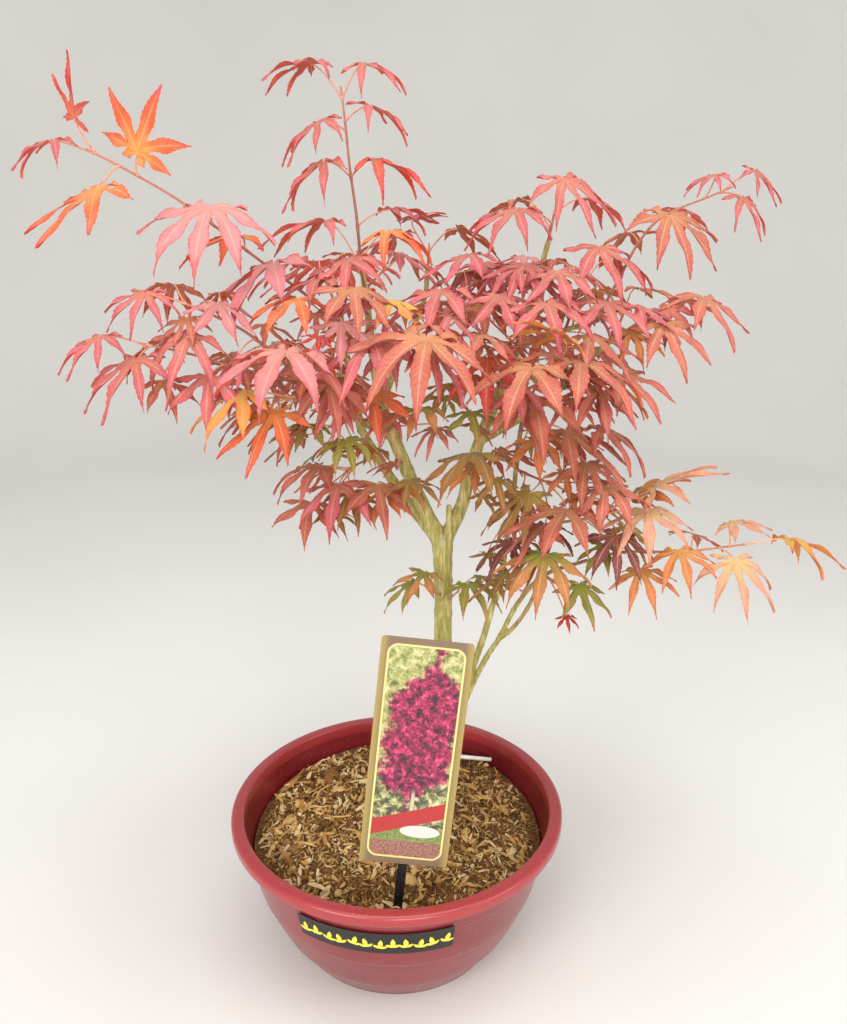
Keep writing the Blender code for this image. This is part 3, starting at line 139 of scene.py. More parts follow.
# Leafy shoots: the twig's route, then each leaf's palm, the azimuth and elevation of its middle lobe, the
# lobe's length and, on a leaf turned on edge, the azimuth its face looks to. The word gives each leaf's tone.
SHOOTS = {
    "crown": (
        ((-46, 5, 363), (-48, 3, 392), (-51, 3, 416), (-53, 3, 439), (-55, 3, 458)),
        ((-70, 0, 468, 220, -20, 35), (-42, 0, 468, 320, -30, 32), (-66, -7, 439, 230, -45, 36),
         (-39, -4, 447, 320, -30, 33), (-64, -12, 418, 225, -45, 38), (-38, -6, 420, 340, -30, 40),
         (-29, 14, 396, 30, -10, 32)), "PPPPPFP"),
    "left_whip": (
        ((-63, -5, 339), (-98, -20, 367), (-135, -30, 396), (-159, -40, 411), (-178, -46, 421)),
        ((-181, -47, 435, 285, 72, 30, 235), (-192, -50, 424, 245, -30, 30),
         (-153, -44, 420, 335, 62, 35, 262), (-173, -50, 402, 235, -35, 48),
         (-119, -44, 394, 268, -35, 54), (-112, -8, 380, 215, -15, 42), (-90, -32, 366, 235, -35, 50)),
        "FPOOLOL"),
    "left_middle": (
        ((-81, -48, 314), (-102, -57, 333), (-120, -63, 343), (-134, -64, 349)),
        ((-148, -68, 352, 262, -40, 32), (-128, -70, 331, 260, -55, 42), (-114, -58, 347, 300, -35, 35),
         (-108, -52, 318, 255, -35, 34), (-138, -52, 356, 120, -30, 32)), "PPLCC"),
    "left_tip": (
        ((-74, -43, 304), (-104, -60, 314), (-128, -64, 322), (-154, -66, 328)),
        ((-172, -70, 331, 245, -35, 32), (-154, -74, 320, 250, -40, 42), (-139, -54, 331, 140, -30, 32),
         (-118, -70, 312, 270, -45, 36)), "PPCP"),
    "left_front": (
        ((-60, -33, 294), (-67, -52, 308), (-72, -64, 317)),
        ((-78, -80, 325, 255, -25, 50), (-62, -74, 332, 275, -20, 16), (-58, -72, 308, 285, -45, 34)),
        "LRC"),
    "left_low": (
        ((-66, -38, 299), (-78, -50, 298), (-85, -56, 299)),
        ((-102, -74, 304, 235, -30, 40), (-87, -72, 294, 250, -45, 42), (-98, -48, 296, 195, -35, 34)),
        "GOC"),
    "left_top": (
        ((-52, -5, 330), (-59, -28, 336), (-63, -40, 340)),
        ((-75, -55, 349, 240, -25, 36), (-52, -60, 338, 270, -35, 34)), "OL"),
    "left_green": (
        ((-52, -25, 284), (-58, -38, 281), (-62, -43, 281)),
        ((-72, -54, 284, 262, -20, 28), (-52, -56, 276, 290, -30, 26), (-78, -38, 274, 190, -30, 26)),
        "NNV"),
    "inner_left": (
        ((-32, -10, 271), (-29, -20, 276), (-24, -28, 280)),
        ((-38, -32, 266, 215, 0, 28), (-12, -46, 291, 255, -25, 30)), "VH"),
    "low_left": (
        ((-39, 13, 252), (-50, 0, 250), (-57, -9, 247)),
        ((-59, -29, 245, 262, -30, 44), (-72, -14, 252, 215, -20, 36), (-76, -22, 232, 262, -30, 34)),
        "PCC"),
    "low_inner": (
        ((-22, 5, 227), (-27, -10, 236), (-30, -18, 241)),
        ((-36, -35, 246, 280, -35, 36), (-18, -33, 248, 295, -20, 26)), "CV"),
    "front": (
        ((-40, -5, 318), (-28, -35, 324), (-20, -56, 328)),
        ((-9, -80, 331, 262, -35, 54), (-37, -70, 331, 245, -45, 46), (-8, -58, 336, 330, -20, 34)), "CPC"),
    "front_small": (
        ((-43, 0, 344), (-32, -20, 345), (-22, -32, 345)),
        ((-25, -50, 348, 245, -15, 30), (4, -48, 340, 300, -25, 30), (-38, -40, 350, 215, -20, 28)), "GPP"),
    "centre": (
        ((47, 10, 321), (38, -10, 323), (32, -22, 324)),
        ((20, -50, 331, 300, -25, 34), (24, -42, 318, 262, -50, 42), (52, -36, 328, 300, -30, 34)), "CFC"),
    "inner_green": (
        ((24, 0, 265), (18, -14, 280), (14, -20, 288)),
        ((16, -37, 288, 275, -25, 27), (2, -28, 302, 245, -30, 28)), "NV"),
    "olive": (
        ((17, 0, 242), (18, -14, 252), (19, -25, 259)),
        ((16, -46, 267, 238, -20, 48), (30, -38, 250, 280, -30, 26), (34, -20, 262, 340, -15, 30)), "VVB"),
    "trunk_left": (
        ((2, -5, 166), (-2, -15, 172), (-5, -19, 176)),
        ((-10, -26, 190, 235, -25, 25), (-18, -18, 180, 205, -30, 26)), "HN"),
    "trunk_right": (
        ((2, -5, 160), (8, -13, 170), (11, -17, 174)),
        ((16, -28, 183, 295, -15, 30), (24, -6, 180, 350, -15, 24)), "NH"),
    "right_high": (
        ((61, 15, 375), (64, 13, 392), (65, 10, 400)),
        ((66, -6, 410, 300, -50, 42), (40, -8, 394, 235, -35, 42), (46, 30, 402, 150, -25, 34),
         (84, 16, 402, 10, -30, 34)), "PPBP"),
    "right_top": (
        ((54, 14, 348), (58, -1, 355), (60, -9, 357)),
        ((62, -27, 362, 275, -30, 38), (42, -16, 364, 225, -25, 32)), "PP"),
    "right_crown": (
        ((72, 5, 328), (78, 3, 348), (82, 1, 360)),
        ((86, -14, 375, 285, -40, 42), (100, 14, 370, 20, -30, 36), (66, 12, 368, 150, -20, 32)), "PPB"),
    "right_whip": (
        ((90, 5, 334), (104, 14, 358), (116, 20, 379), (130, 23, 393), (157, 25, 404), (169, 25, 409)),
        ((128, 4, 392, 285, -40, 45), (154, 14, 414, 225, -30, 24), (181, 24, 417, 300, -50, 26),
         (170, 12, 402, 300, -55, 30), (112, 36, 384, 100, -25, 36), (142, 38, 398, 60, -25, 30)),
        "CPPPBP"),
    "right_middle": (
        ((110, -5, 332), (120, -6, 339), (130, -7, 345)),
        ((146, -12, 348, 300, -40, 38), (122, -26, 335, 285, -45, 40), (142, 8, 346, 40, -30, 30)), "CCP"),
    "right_back": (
        ((99, -7, 324), (106, 12, 334), (112, 24, 342)),
        ((122, 38, 352, 315, -10, 34), (96, 38, 350, 110, -25, 38)), "TT"),
    "golden": (
        ((52, -5, 290), (53, -24, 301), (54, -38, 308)),
        ((60, -62, 330, 205, 15, 34), (44, -72, 316, 238, -32, 46), (70, -60, 318, 308, -25, 48),
         (74, -34, 312, 345, -20, 36)), "GCCB"),
    "right_front": (
        ((47, -5, 271), (48, -20, 281), (49, -30, 288)),
        ((48, -50, 297, 272, -32, 44), (70, -30, 276, 318, -28, 50)), "CB"),
    "low_right": (
        ((46, -2, 247), (58, -14, 244), (68, -24, 243)),
        ((91, -43, 247, 255, -22, 38), (67, -54, 236, 245, -20, 44), (50, -32, 240, 215, -40, 40),
         (84, -16, 246, 340, -20, 34)), "CBVB"),
    "purple": (
        ((44, 0, 227), (44, -8, 222), (45, -13, 219)),
        ((42, -26, 208, 228, -25, 30), (60, -12, 214, 330, -25, 28)), "UU"),
    "orange": (
        ((48, -13, 165), (51, -28, 182), (53, -38, 194)),
        ((57, -56, 212, 255, -28, 43), (38, -34, 192, 200, -20, 28)), "HV"),
    "green_tip": (
        ((62, -23, 187), (69, -31, 184)),
        ((80, -42, 188, 285, -35, 30), (74, -36, 166, 275, -30, 12)), "NR"),
    "cream": (
        ((70, -23, 220), (86, -27, 224), (98, -30, 230)),
        ((122, -33, 244, 325, 20, 42), (114, -46, 234, 262, -28, 38), (98, -48, 220, 262, -35, 34),
         (108, -14, 236, 40, -20, 32)), "KKUB"),
    "low_whip": (
        ((84, -30, 198), (105, -33, 205), (137, -38, 207), (162, -41, 211), (178, -43, 214)),
        ((132, -52, 212, 275, -30, 30), (162, -57, 208, 270, -50, 38), (166, -36, 224, 300, 0, 28),
         (194, -45, 217, 355, -25, 38), (148, -26, 214, 60, -25, 28), (112, -50, 200, 285, -35, 30)),
        "TKKGBT"),
    "crown_foot": (
        ((-44, 1, 353), (-46, -8, 366), (-47, -12, 373)),
        ((-64, -14, 388, 205, -20, 42), (-30, -20, 382, 318, -30, 36), (-50, -32, 368, 268, -30, 42)),
        "POP"),
    "top_front": (
        ((-42, -1, 338), (-44, -20, 344), (-46, -34, 347)),
        ((-46, -56, 354, 280, -25, 38), (-66, -42, 358, 225, -25, 34)), "BP"),
    "centre_top": (
        ((35, 5, 294), (24, -6, 324), (14, -14, 342)),
        ((-2, -34, 352, 258, -30, 40), (30, -34, 350, 285, -30, 38), (12, -4, 362, 100, -20, 34)), "PPB"),
    "crown_side": (
        ((-44, 2, 352), (-36, 10, 360), (-32, 13, 363)),
        ((-20, 24, 370, 40, -20, 34), (-24, -2, 372, 325, -25, 32)), "BP"),
    "middle_top": (
        ((46, 9, 320), (36, 4, 346), (30, -4, 356)),
        ((14, -12, 371, 245, -25, 36), (46, -14, 366, 285, -30, 38), (28, 18, 366, 90, -20, 34)), "PPB"),
    "middle_front": (
        ((35, 5, 294), (42, -14, 322), (46, -24, 334)),
        ((54, -46, 346, 275, -30, 38), (78, -42, 330, 310, -30, 38), (62, -20, 344, 20, -20, 32)), "PCB"),
    "left_inner": (
        ((-33, -10, 284), (-42, -24, 294), (-46, -32, 298)),
        ((-56, -48, 308, 248, -35, 40), (-38, -48, 300, 278, -35, 36), (-66, -28, 306, 200, -25, 34)),
        "COV"),
    "right_inner": (
        ((67, -20, 298), (78, -24, 302), (84, -26, 303)),
        ((98, -36, 308, 302, -30, 38), (96, -12, 300, 15, -30, 36), (84, -46, 300, 272, -35, 34)), "CTC"),
    "right_low_inner": (
        ((47, -15, 281), (60, -16, 272), (72, -16, 268)),
        ((92, -20, 276, 330, -30, 40), (82, -32, 258, 290, -30, 38), (66, 4, 268, 60, -30, 34)), "CBV"),
    "right_upper_front": (
        ((84, 5, 332), (88, -8, 338), (90, -16, 341)),
        ((88, -32, 346, 272, -30, 38), (108, -18, 344, 320, -25, 34), (76, -8, 352, 190, -20, 30)), "PPB"),
    "back_middle_tip": (
        ((-8, 42, 363), (-7, 44, 372), (-7, 45, 378)),
        ((-16, 34, 392, 320, 15, 24), (10, 40, 386, 10, -25, 36), (-26, 56, 384, 150, -25, 36)), "PBP"),
    "back_middle_side": (
        ((-14, 31, 337), (2, 30, 350), (12, 28, 356)),
        ((22, 12, 366, 285, -30, 36), (26, 42, 362, 50, -25, 36)), "PB"),
    "rear_tip": (
        ((-65, 43, 341), (-71, 50, 354), (-76, 54, 360)),
        ((-88, 40, 368, 200, -25, 40), (-78, 72, 368, 95, -30, 38), (-60, 60, 372, 60, -20, 30)), "PLP"),
    "rear_side": (
        ((-56, 31, 303), (-74, 34, 310), (-84, 34, 313)),
        ((-100, 22, 320, 200, -30, 42), (-98, 50, 318, 150, -30, 40), (-84, 14, 304, 215, -35, 36)), "CCB"),
    "back_left_tip": (
        ((-68, 104, 339), (-72, 112, 352), (-74, 117, 358)),
        ((-92, 116, 366, 185, -30, 42), (-66, 134, 366, 85, -35, 42), (-56, 108, 370, 330, -20, 34)),
        "PLP"),
    "back_left_low": (
        ((-60, 64, 298), (-76, 76, 302), (-86, 82, 304)),
        ((-102, 74, 310, 200, -30, 42), (-88, 102, 306, 110, -35, 42), (-66, 92, 292, 60, -40, 36)), "COV"),
    "back_right_tip": (
        ((70, 99, 339), (74, 106, 352), (76, 110, 358)),
        ((94, 112, 364, 0, -30, 42), (68, 128, 366, 95, -35, 42), (58, 98, 370, 210, -20, 34)), "PPL"),
    "back_right_low": (
        ((50, 60, 303), (70, 66, 306), (80, 68, 308)),
        ((98, 56, 314, 330, -30, 42), (92, 84, 312, 50, -35, 42), (60, 88, 300, 110, -40, 38)), "CCV"),
    "back_right_high": (
        ((55, 70, 311), (38, 76, 326), (30, 78, 334)),
        ((14, 76, 342, 180, -25, 40), (34, 94, 346, 90, -30, 38), (36, 62, 348, 280, -20, 34)), "PCP"),
}
PINK_ABOVE = 345.0  # mean height of a shoot's leaves: well above this a shoot gets no inner leaves, and below OLIVE_BELOW its twig is green
OLIVE_BELOW = 235.0
NARROW_LEAVED = ("crown", "crown_foot")
SLENDER_LEAVES = (("left_whip", 0), ("left_whip", 1), ("right_whip", 1), ("right_whip", 2),
                  ("right_whip", 3),
                  ("left_tip", 0), ("left_tip", 1), ("left_middle", 0), ("left_middle", 1),
                  ("right_high", 0),
                  ("right_high", 1), ("low_whip", 1), ("low_whip", 3), ("golden", 0), ("cream", 0))


def srgb(red, green, blue):
    """A colour given from 0 to 255 per channel, as the shaders take it."""
    return tuple((c / 255 / 12.92) if c < 11 else ((c / 255 + 0.055) / 1.055) ** 2.4 for c in (red, green,
                                                                                               blue))


# Leaf tones: heart of the leaf, its blade, the lobes' tips and the underside. The underside's warmer orange
# is partly the back's own tone and partly painted glow of light shining through the leaf.
TONES = {
    "P": (srgb(212, 128, 112), srgb(212, 106, 116), srgb(188, 66, 86), srgb(216, 88, 66)),  # pink
    "L": (srgb(226, 160, 152), srgb(222, 138, 148), srgb(204, 84, 100), srgb(226, 84, 52)),
     # pale lilac pink
    "C": (srgb(212, 144, 102), srgb(210, 114, 100), srgb(192, 84, 84), srgb(204, 98, 64)),  # coral
    "F": (srgb(232, 120, 84), srgb(228, 78, 76), srgb(206, 56, 72), srgb(222, 66, 44)),  # flame red
    "O": (srgb(246, 164, 84), srgb(238, 112, 70), srgb(222, 78, 84), srgb(232, 92, 34)),  # orange
    "G": (srgb(232, 196, 92), srgb(240, 160, 76), srgb(226, 106, 84), srgb(222, 140, 50)),  # golden
    "H": (srgb(150, 172, 66), srgb(214, 142, 84), srgb(206, 98, 84), srgb(170, 140, 60)),  # green heart
    "V": (srgb(186, 168, 78), srgb(172, 126, 68), srgb(176, 96, 70), srgb(170, 132, 58)),  # olive
    "N": (srgb(164, 182, 62), srgb(160, 158, 70), srgb(194, 118, 82), srgb(150, 152, 56)),  # green
    "K": (srgb(232, 200, 140), srgb(232, 172, 142), srgb(216, 116, 108), srgb(214, 150, 112)),  # cream
    "U": (srgb(150, 82, 74), srgb(136, 66, 68), srgb(116, 50, 58), srgb(138, 66, 52)),  # purple
    "R": (srgb(206, 40, 52), srgb(200, 26, 44), srgb(180, 18, 40), srgb(190, 20, 30)),  # bright red
    "B": (srgb(206, 142, 98), srgb(206, 114, 94), srgb(188, 84, 82), srgb(196, 100, 60)),  # brown pink
    "T": (srgb(222, 164, 84), srgb(222, 136, 80), srgb(202, 94, 74), srgb(206, 116, 54)),  # tan orange
}

# Leaf patterns: (lobes as degrees from the middle one and share of its length, half the width of a lobe)
WIDE_STAR = ((-128, 0.24), (-92, 0.6), (-47, 0.88), (0, 1.0), (47, 0.88), (92, 0.6), (128, 0.24))
SEVEN_LOBES = ((-118, 0.36), (-80, 0.72), (-40, 0.93), (0, 1.0), (40, 0.93), (80, 0.72), (118, 0.36))
FIVE_LOBES = ((-100, 0.54), (-52, 0.86), (0, 1.0), (52, 0.86), (100, 0.54))
PATTERNS = ((WIDE_STAR, 0.122), (SEVEN_LOBES, 0.108), (FIVE_LOBES, 0.13), (WIDE_STAR, 0.112),
            (SEVEN_LOBES, 0.116), (FIVE_LOBES, 0.116), (FIVE_LOBES, 0.08), (SEVEN_LOBES, 0.076))
FIRST_NARROW = 6  # the patterns from here on are for young, narrow leaves


# ---- small helpers ---------------------------------------------------------------------------------------

def lerp(a, b, share):
    return a + (b - a) * share


def smoothstep(low, high, value):
    t = max(0.0, min(1.0, (value - low) / (high - low)))
    return t * t * (3 - 2 * t)


def plant_point(p):
    return Vector((TRUNK_FOOT[0] + p[0], TRUNK_FOOT[1] + p[1], SOIL_AT_TRUNK + p[2]))


def direction(azimuth, elevation):
    azimuth = math.radians(azimuth)
    elevation = math.radians(elevation)
    flat = math.cos(elevation)
    return Vector((flat * math.cos(azimuth), flat * math.sin(azimuth), math.sin(elevation)))


def smooth_route(points, parts):
    """Points along a Catmull-Rom curve through the given ones, with the other values carried along."""
    ends = [tuple(2 * a - b for a, b in zip(points[0], points[1]))]
    ends += [tuple(p) for p in points]
    ends.append(tuple(2 * a - b for a, b in zip(points[-1], points[-2])))
    route = []
    for p0, p1, p2, p3 in zip(ends, ends[1:], ends[2:], ends[3:]):
        for part in range(parts):
            t = part / parts
            route.append(tuple(
                0.5 * (2 * b + (c - a) * t + (2 * a - 5 * b + 4 * c - d) * t * t
                       + (3 * b - a - 3 * c + d) * t ** 3)
                for a, b, c, d in zip(p0, p1, p2, p3)))
    route.append(tuple(points[-1]))
    return route


def new_object(name, points, faces, edges=()):
    """A mesh object from points in millimetres."""
    mesh = bpy.data.meshes.new(name)
    mesh.from_pydata([tuple(c * MM for c in p) for p in points], edges, faces)
    mesh.update()
    made = bpy.data.objects.new(name, mesh)
    bpy.context.scene.collection.objects.link(made)
    return made


def add_values(mesh, name, kind, values, domain="POINT"):
    """Stores one value per point (or face) as a named attribute."""
    attribute = mesh.attributes.new(name, kind, domain)
    if kind == "FLOAT_VECTOR":
        attribute.data.foreach_set("vector", [c for v in values for c in v])
    elif kind == "FLOAT_COLOR":
        attribute.data.foreach_set("color", [c for v in values for c in (*v[:3], 1.0)])
    else:
        attribute.data.foreach_set("value", values)


def shade_smooth(thing, angle=None):
    for face in thing.data.polygons:
        face.use_smooth = True
    if angle is not None:
        thing.data.set_sharp_from_angle(angle=math.radians(angle))


def grown_mesh(thing):
    """Applies an object's modifiers: its mesh becomes the plain result."""
    graph = bpy.context.evaluated_depsgraph_get()
    mesh = bpy.data.meshes.new_from_object(thing.evaluated_get(graph), preserve_all_data_layers=True,
                                           depsgraph=graph)
    thing.modifiers.clear()
    old = thing.data
    thing.data = mesh
    mesh.name = thing.name
    bpy.data.meshes.remove(old)
    return thing


def drop(things):
    for thing in list(things):
        bpy.data.objects.remove(thing, do_unlink=True)


# ---- node helpers ----------------------------------------------------------------------------------------

def node(tree, kind, inputs=None, **settings):
    """A new node with its settings, and with each input linked if it is given a socket, or else set."""
    made = tree.nodes.new(kind)
    for name, value in settings.items():
        setattr(made, name, value)
    for key, value in (inputs or {}).items():
        if isinstance(value, bpy.types.NodeSocket):
            tree.links.new(value, made.inputs[key])
        else:
            made.inputs[key].default_value = value
    return made


def maths(tree, operation, *values):
    return node(tree, "ShaderNodeMath", dict(enumerate(values)), operation=operation).outputs[0]


def plus(tree, a, b):
    return maths(tree, "ADD", a, b)


def minus(tree, a, b):
    return maths(tree, "SUBTRACT", a, b)


def times(tree, a, b):
    return maths(tree, "MULTIPLY", a, b)


def scaled(tree, value, gain, base):
    """The value times gain, plus base."""
    return plus(tree, times(tree, value, gain), base)


def swing(tree, value, width):
    """A value from 0 to 1, turned to swing about 0."""
    return times(tree, minus(tree, value, 0.5), width)


def vector_maths(tree, operation, *values, scale=None):
    made = node(tree, "ShaderNodeVectorMath", dict(enumerate(values)), operation=operation)
    if scale is not None:
        if isinstance(scale, bpy.types.NodeSocket):
            tree.links.new(scale, made.inputs["Scale"])
        else:
            made.inputs["Scale"].default_value = scale
    return made.outputs["Value" if operation in ("LENGTH", "DOT_PRODUCT") else "Vector"]


def step_between(tree, value, low, high):
    """0 below low, 1 above high, and smooth between them. Low may be the larger, to turn it round."""
    return node(tree, "ShaderNodeMapRange", {"Value": value, "From Min": low, "From Max": high},
                interpolation_type="SMOOTHSTEP").outputs["Result"]


def mixed(tree, share, a, b):
    return node(tree, "ShaderNodeMix", {0: share, 6: a, 7: b}, data_type="RGBA").outputs[2]


def rgba(colour):
    return (*colour[:3], 1.0)


def ramp(tree, value, *stops):
    """A colour ramp from (position, colour) stops."""
    made = node(tree, "ShaderNodeValToRGB", {0: value})
    elements = made.color_ramp.elements
    while len(elements) < len(stops):
        elements.new(0.5)
    for element, (position, colour) in zip(elements, stops):
        element.position = position
        element.color = rgba(colour)
    return made.outputs["Color"]


def speckle(tree, place, scale, detail=3.0, rough=0.55, distortion=0.0):
    return node(tree, "ShaderNodeTexNoise",
                {"Vector": place, "Scale": scale, "Detail": detail, "Roughness": rough,
                 "Distortion": distortion}).outputs[0]


def stored(tree, name):
    return node(tree, "ShaderNodeAttribute", attribute_name=name)


def object_place(tree, stretch=(1, 1, 1)):
    place = node(tree, "ShaderNodeTexCoord").outputs["Object"]
    return node(tree, "ShaderNodeMapping", {"Vector": place, "Scale": stretch}).outputs["Vector"]


def new_material(name, **constants):
    """(material, its tree, its Principled shader), with the constants set on the shader's own sockets."""
    made = bpy.data.materials.new(name)
    made.use_nodes = True
    tree = made.node_tree
    shader = tree.nodes["Principled BSDF"]
    for key, value in constants.items():
        shader.inputs[key.replace("_", " ").title().replace("Ior", "IOR")].default_value = value
    return made, tree, shader


def paint(tree, shader, colour, rough):
    tree.links.new(colour, shader.inputs["Base Color"])
    tree.links.new(rough, shader.inputs["Roughness"])


def relief(tree, shader, height, strength, distance):
    bump = node(tree, "ShaderNodeBump", {"Height": height, "Strength": strength, "Distance": distance})
    tree.links.new(bump.outputs[0], shader.inputs["Normal"])


# ---- materials -------------------------------------------------------------------------------------------

def leaf_skin():
    """A maple leaf: its heart fades into blade and tips, with pale veins and a warm, lit-through back."""
    made, tree, shader = new_material("leaf_skin", specular_ior_level=0.32, sheen_weight=0.12,
                                      sheen_roughness=0.4)
    along = stored(tree, "along").outputs["Fac"]
    across = maths(tree, "ABSOLUTE", stored(tree, "across").outputs["Fac"])
    reach = stored(tree, "reach").outputs["Fac"]
    under = stored(tree, "underside").outputs["Fac"]
    place = object_place(tree)
    patch = speckle(tree, place, 95.0)
    fine = speckle(tree, place, 620.0, 4.0, 0.65)
    spread = plus(tree, reach, swing(tree, patch, 0.5))
    colour = mixed(tree, step_between(tree, spread, 0.06, 0.5), stored(tree, "heart").outputs["Color"],
                   stored(tree, "blade").outputs["Color"])
    tipped = maths(tree, "MAXIMUM", step_between(tree, spread, 0.62, 1.05),
                   times(tree, step_between(tree, across, 0.72, 1.0), 0.55))
    colour = mixed(tree, tipped, colour, stored(tree, "tip").outputs["Color"])
    # Undersides take the under colour: partly the back's own tone, partly painted glow of light shining
    # through the leaf.
    colour = mixed(tree, times(tree, under, 0.8), colour, stored(tree, "under").outputs["Color"])
    # Side veins leave the midrib at a slant, and the midrib is the strongest
    slant = minus(tree, times(tree, along, 15.0), times(tree, across, 1.7))
    line = maths(tree, "ABSOLUTE", minus(tree, maths(tree, "FRACT", slant), 0.5))
    side_vein = times(tree, step_between(tree, line, 0.13, 0.02), step_between(tree, across, 0.95, 0.3))
    midrib = step_between(tree, across, 0.17, 0.04)
    vein = maths(tree, "MAXIMUM", times(tree, side_vein, 0.42), times(tree, midrib, 0.66))
    pale = mixed(tree, 0.62, colour, rgba(srgb(246, 206, 170)))
    colour = mixed(tree, vein, colour, pale)
    ochre = mixed(tree, 0.6, colour, rgba(srgb(206, 142, 72)))
    colour = mixed(tree, times(tree, step_between(tree, fine, 0.48, 0.66), 0.5), colour, ochre)
    shade = plus(tree, times(tree, patch, 0.55), times(tree, fine, 0.6))
    bright = node(tree, "ShaderNodeHueSaturation", {"Color": colour, "Value": plus(tree, shade, 0.43)})
    paint(tree, shader, bright.outputs[0], scaled(tree, fine, 0.22, 0.36))
    height = minus(tree, times(tree, fine, 0.35), vein)
    relief(tree, shader, height, 0.35, 0.0004)
    glow = node(tree, "ShaderNodeBsdfTranslucent",
                {"Color": mixed(tree, 0.5, colour, stored(tree, "under").outputs["Color"])})
    through = node(tree, "ShaderNodeMixShader", {0: 0.3, 1: shader.outputs[0], 2: glow.outputs[0]})
    tree.links.new(through.outputs[0], tree.nodes["Material Output"].inputs["Surface"])
    return made


def stalk_skin():
    """Twigs and leaf stalks: smooth young skin with a faint streak along it."""
    made, tree, shader = new_material("stalk_skin", specular_ior_level=0.4)
    place = object_place(tree)
    streak = speckle(tree, place, 260.0, 3.0)
    colour = mixed(tree, times(tree, streak, 0.5), stored(tree, "blade").outputs["Color"],
                   rgba(srgb(214, 150, 120)))
    colour = mixed(tree, step_between(tree, speckle(tree, place, 900.0, 2.0), 0.62, 0.7), colour,
                   rgba(srgb(96, 52, 44)))
    paint(tree, shader, colour, scaled(tree, streak, 0.3, 0.3))
    relief(tree, shader, streak, 0.3, 0.0002)
    return made


def bark_skin():
    """Smooth green-olive maple bark with pale lengthwise streaks, redder and browner on the young limbs."""
    made, tree, shader = new_material("bark_skin", specular_ior_level=0.35)
    long_place = object_place(tree, (1, 1, 0.16))
    place = object_place(tree)
    streak = speckle(tree, long_place, 520.0, 5.0, 0.6)
    patch = speckle(tree, place, 45.0, 4.0)
    young = stored(tree, "young").outputs["Fac"]
    foot = stored(tree, "foot").outputs["Fac"]
    old = ramp(tree, streak, (0.3, srgb(136, 132, 64)), (0.5, srgb(172, 162, 90)),
               (0.7, srgb(214, 204, 148)))
    brown = ramp(tree, streak, (0.3, srgb(132, 86, 58)), (0.55, srgb(160, 116, 78)),
                 (0.72, srgb(196, 160, 120)))
    youth = step_between(tree, plus(tree, young, times(tree, patch, 0.4)), 0.5, 1.05)
    colour = mixed(tree, youth, old, brown)
    flakes = speckle(tree, object_place(tree, (1, 1, 0.45)), 210.0, 6.0, 0.7)
    scaly = step_between(tree, plus(tree, flakes, times(tree, foot, 0.14)), 0.66, 0.78)
    colour = mixed(tree, scaly, colour, rgba(srgb(186, 180, 160)))
    pore = step_between(tree, speckle(tree, object_place(tree, (1, 1, 2.2)), 640.0, 2.0), 0.68, 0.75)
    colour = mixed(tree, times(tree, pore, 0.6), colour, rgba(srgb(92, 80, 46)))
    paint(tree, shader, colour, scaled(tree, patch, 0.3, 0.42))
    relief(tree, shader, plus(tree, streak, times(tree, scaly, 0.6)), 0.5, 0.0006)
    return made


def pot_plastic():
    """Brick-red moulded plastic: semi-gloss and mottled, with fine scuffs, soil dust low on the wall and a
    painted highlight on the lip.
    """
    made, tree, shader = new_material("pot_plastic", specular_ior_level=0.5, coat_weight=0.3,
                                      coat_roughness=0.18)
    place = object_place(tree)
    height = node(tree, "ShaderNodeSeparateXYZ", {0: place}).outputs["Z"]
    cloudy = speckle(tree, place, 22.0, 4.0)
    colour = ramp(tree, cloudy, (0.3, srgb(118, 26, 32)), (0.7, srgb(136, 36, 42)))
    # Painted highlight: the rolled lip is painted a lighter red, standing in for the light its top catches.
    lip = step_between(tree, height, 0.0862, 0.0885)
    colour = mixed(tree, times(tree, lip, 0.75), colour, rgba(srgb(172, 56, 60)))
    scratches = speckle(tree, object_place(tree, (1, 1, 7)), 130.0, 6.0, 0.75, 0.6)
    scuff = step_between(tree, scratches, 0.6, 0.74)
    colour = mixed(tree, times(tree, scuff, 0.16), colour, rgba(srgb(206, 128, 120)))
    low = step_between(tree, height, 0.035, 0.0)
    specks = plus(tree, speckle(tree, place, 420.0, 3.0), times(tree, low, 0.1))
    dust = step_between(tree, specks, 0.66, 0.74)
    colour = mixed(tree, times(tree, dust, 0.55), colour, rgba(srgb(196, 150, 120)))
    gloss = plus(tree, times(tree, scuff, 0.2), times(tree, cloudy, 0.16))
    gloss = plus(tree, gloss, times(tree, dust, 0.3))
    paint(tree, shader, colour, plus(tree, gloss, 0.22))
    grain = plus(tree, times(tree, speckle(tree, place, 1400.0, 2.0), 0.25), dust)
    relief(tree, shader, grain, 0.16, 0.0003)
    return made


def soil_skin():
    """Damp dark potting mix between the chips."""
    made, tree, shader = new_material("soil_skin", specular_ior_level=0.2)
    place = object_place(tree)
    grain = speckle(tree, place, 420.0, 6.0, 0.7)
    colour = ramp(tree, grain, (0.3, srgb(52, 34, 21)), (0.5, srgb(112, 78, 44)), (0.7, srgb(172, 128, 72)))
    paint(tree, shader, colour, scaled(tree, grain, 0.2, 0.75))
    relief(tree, shader, grain, 0.9, 0.0015)
    return made


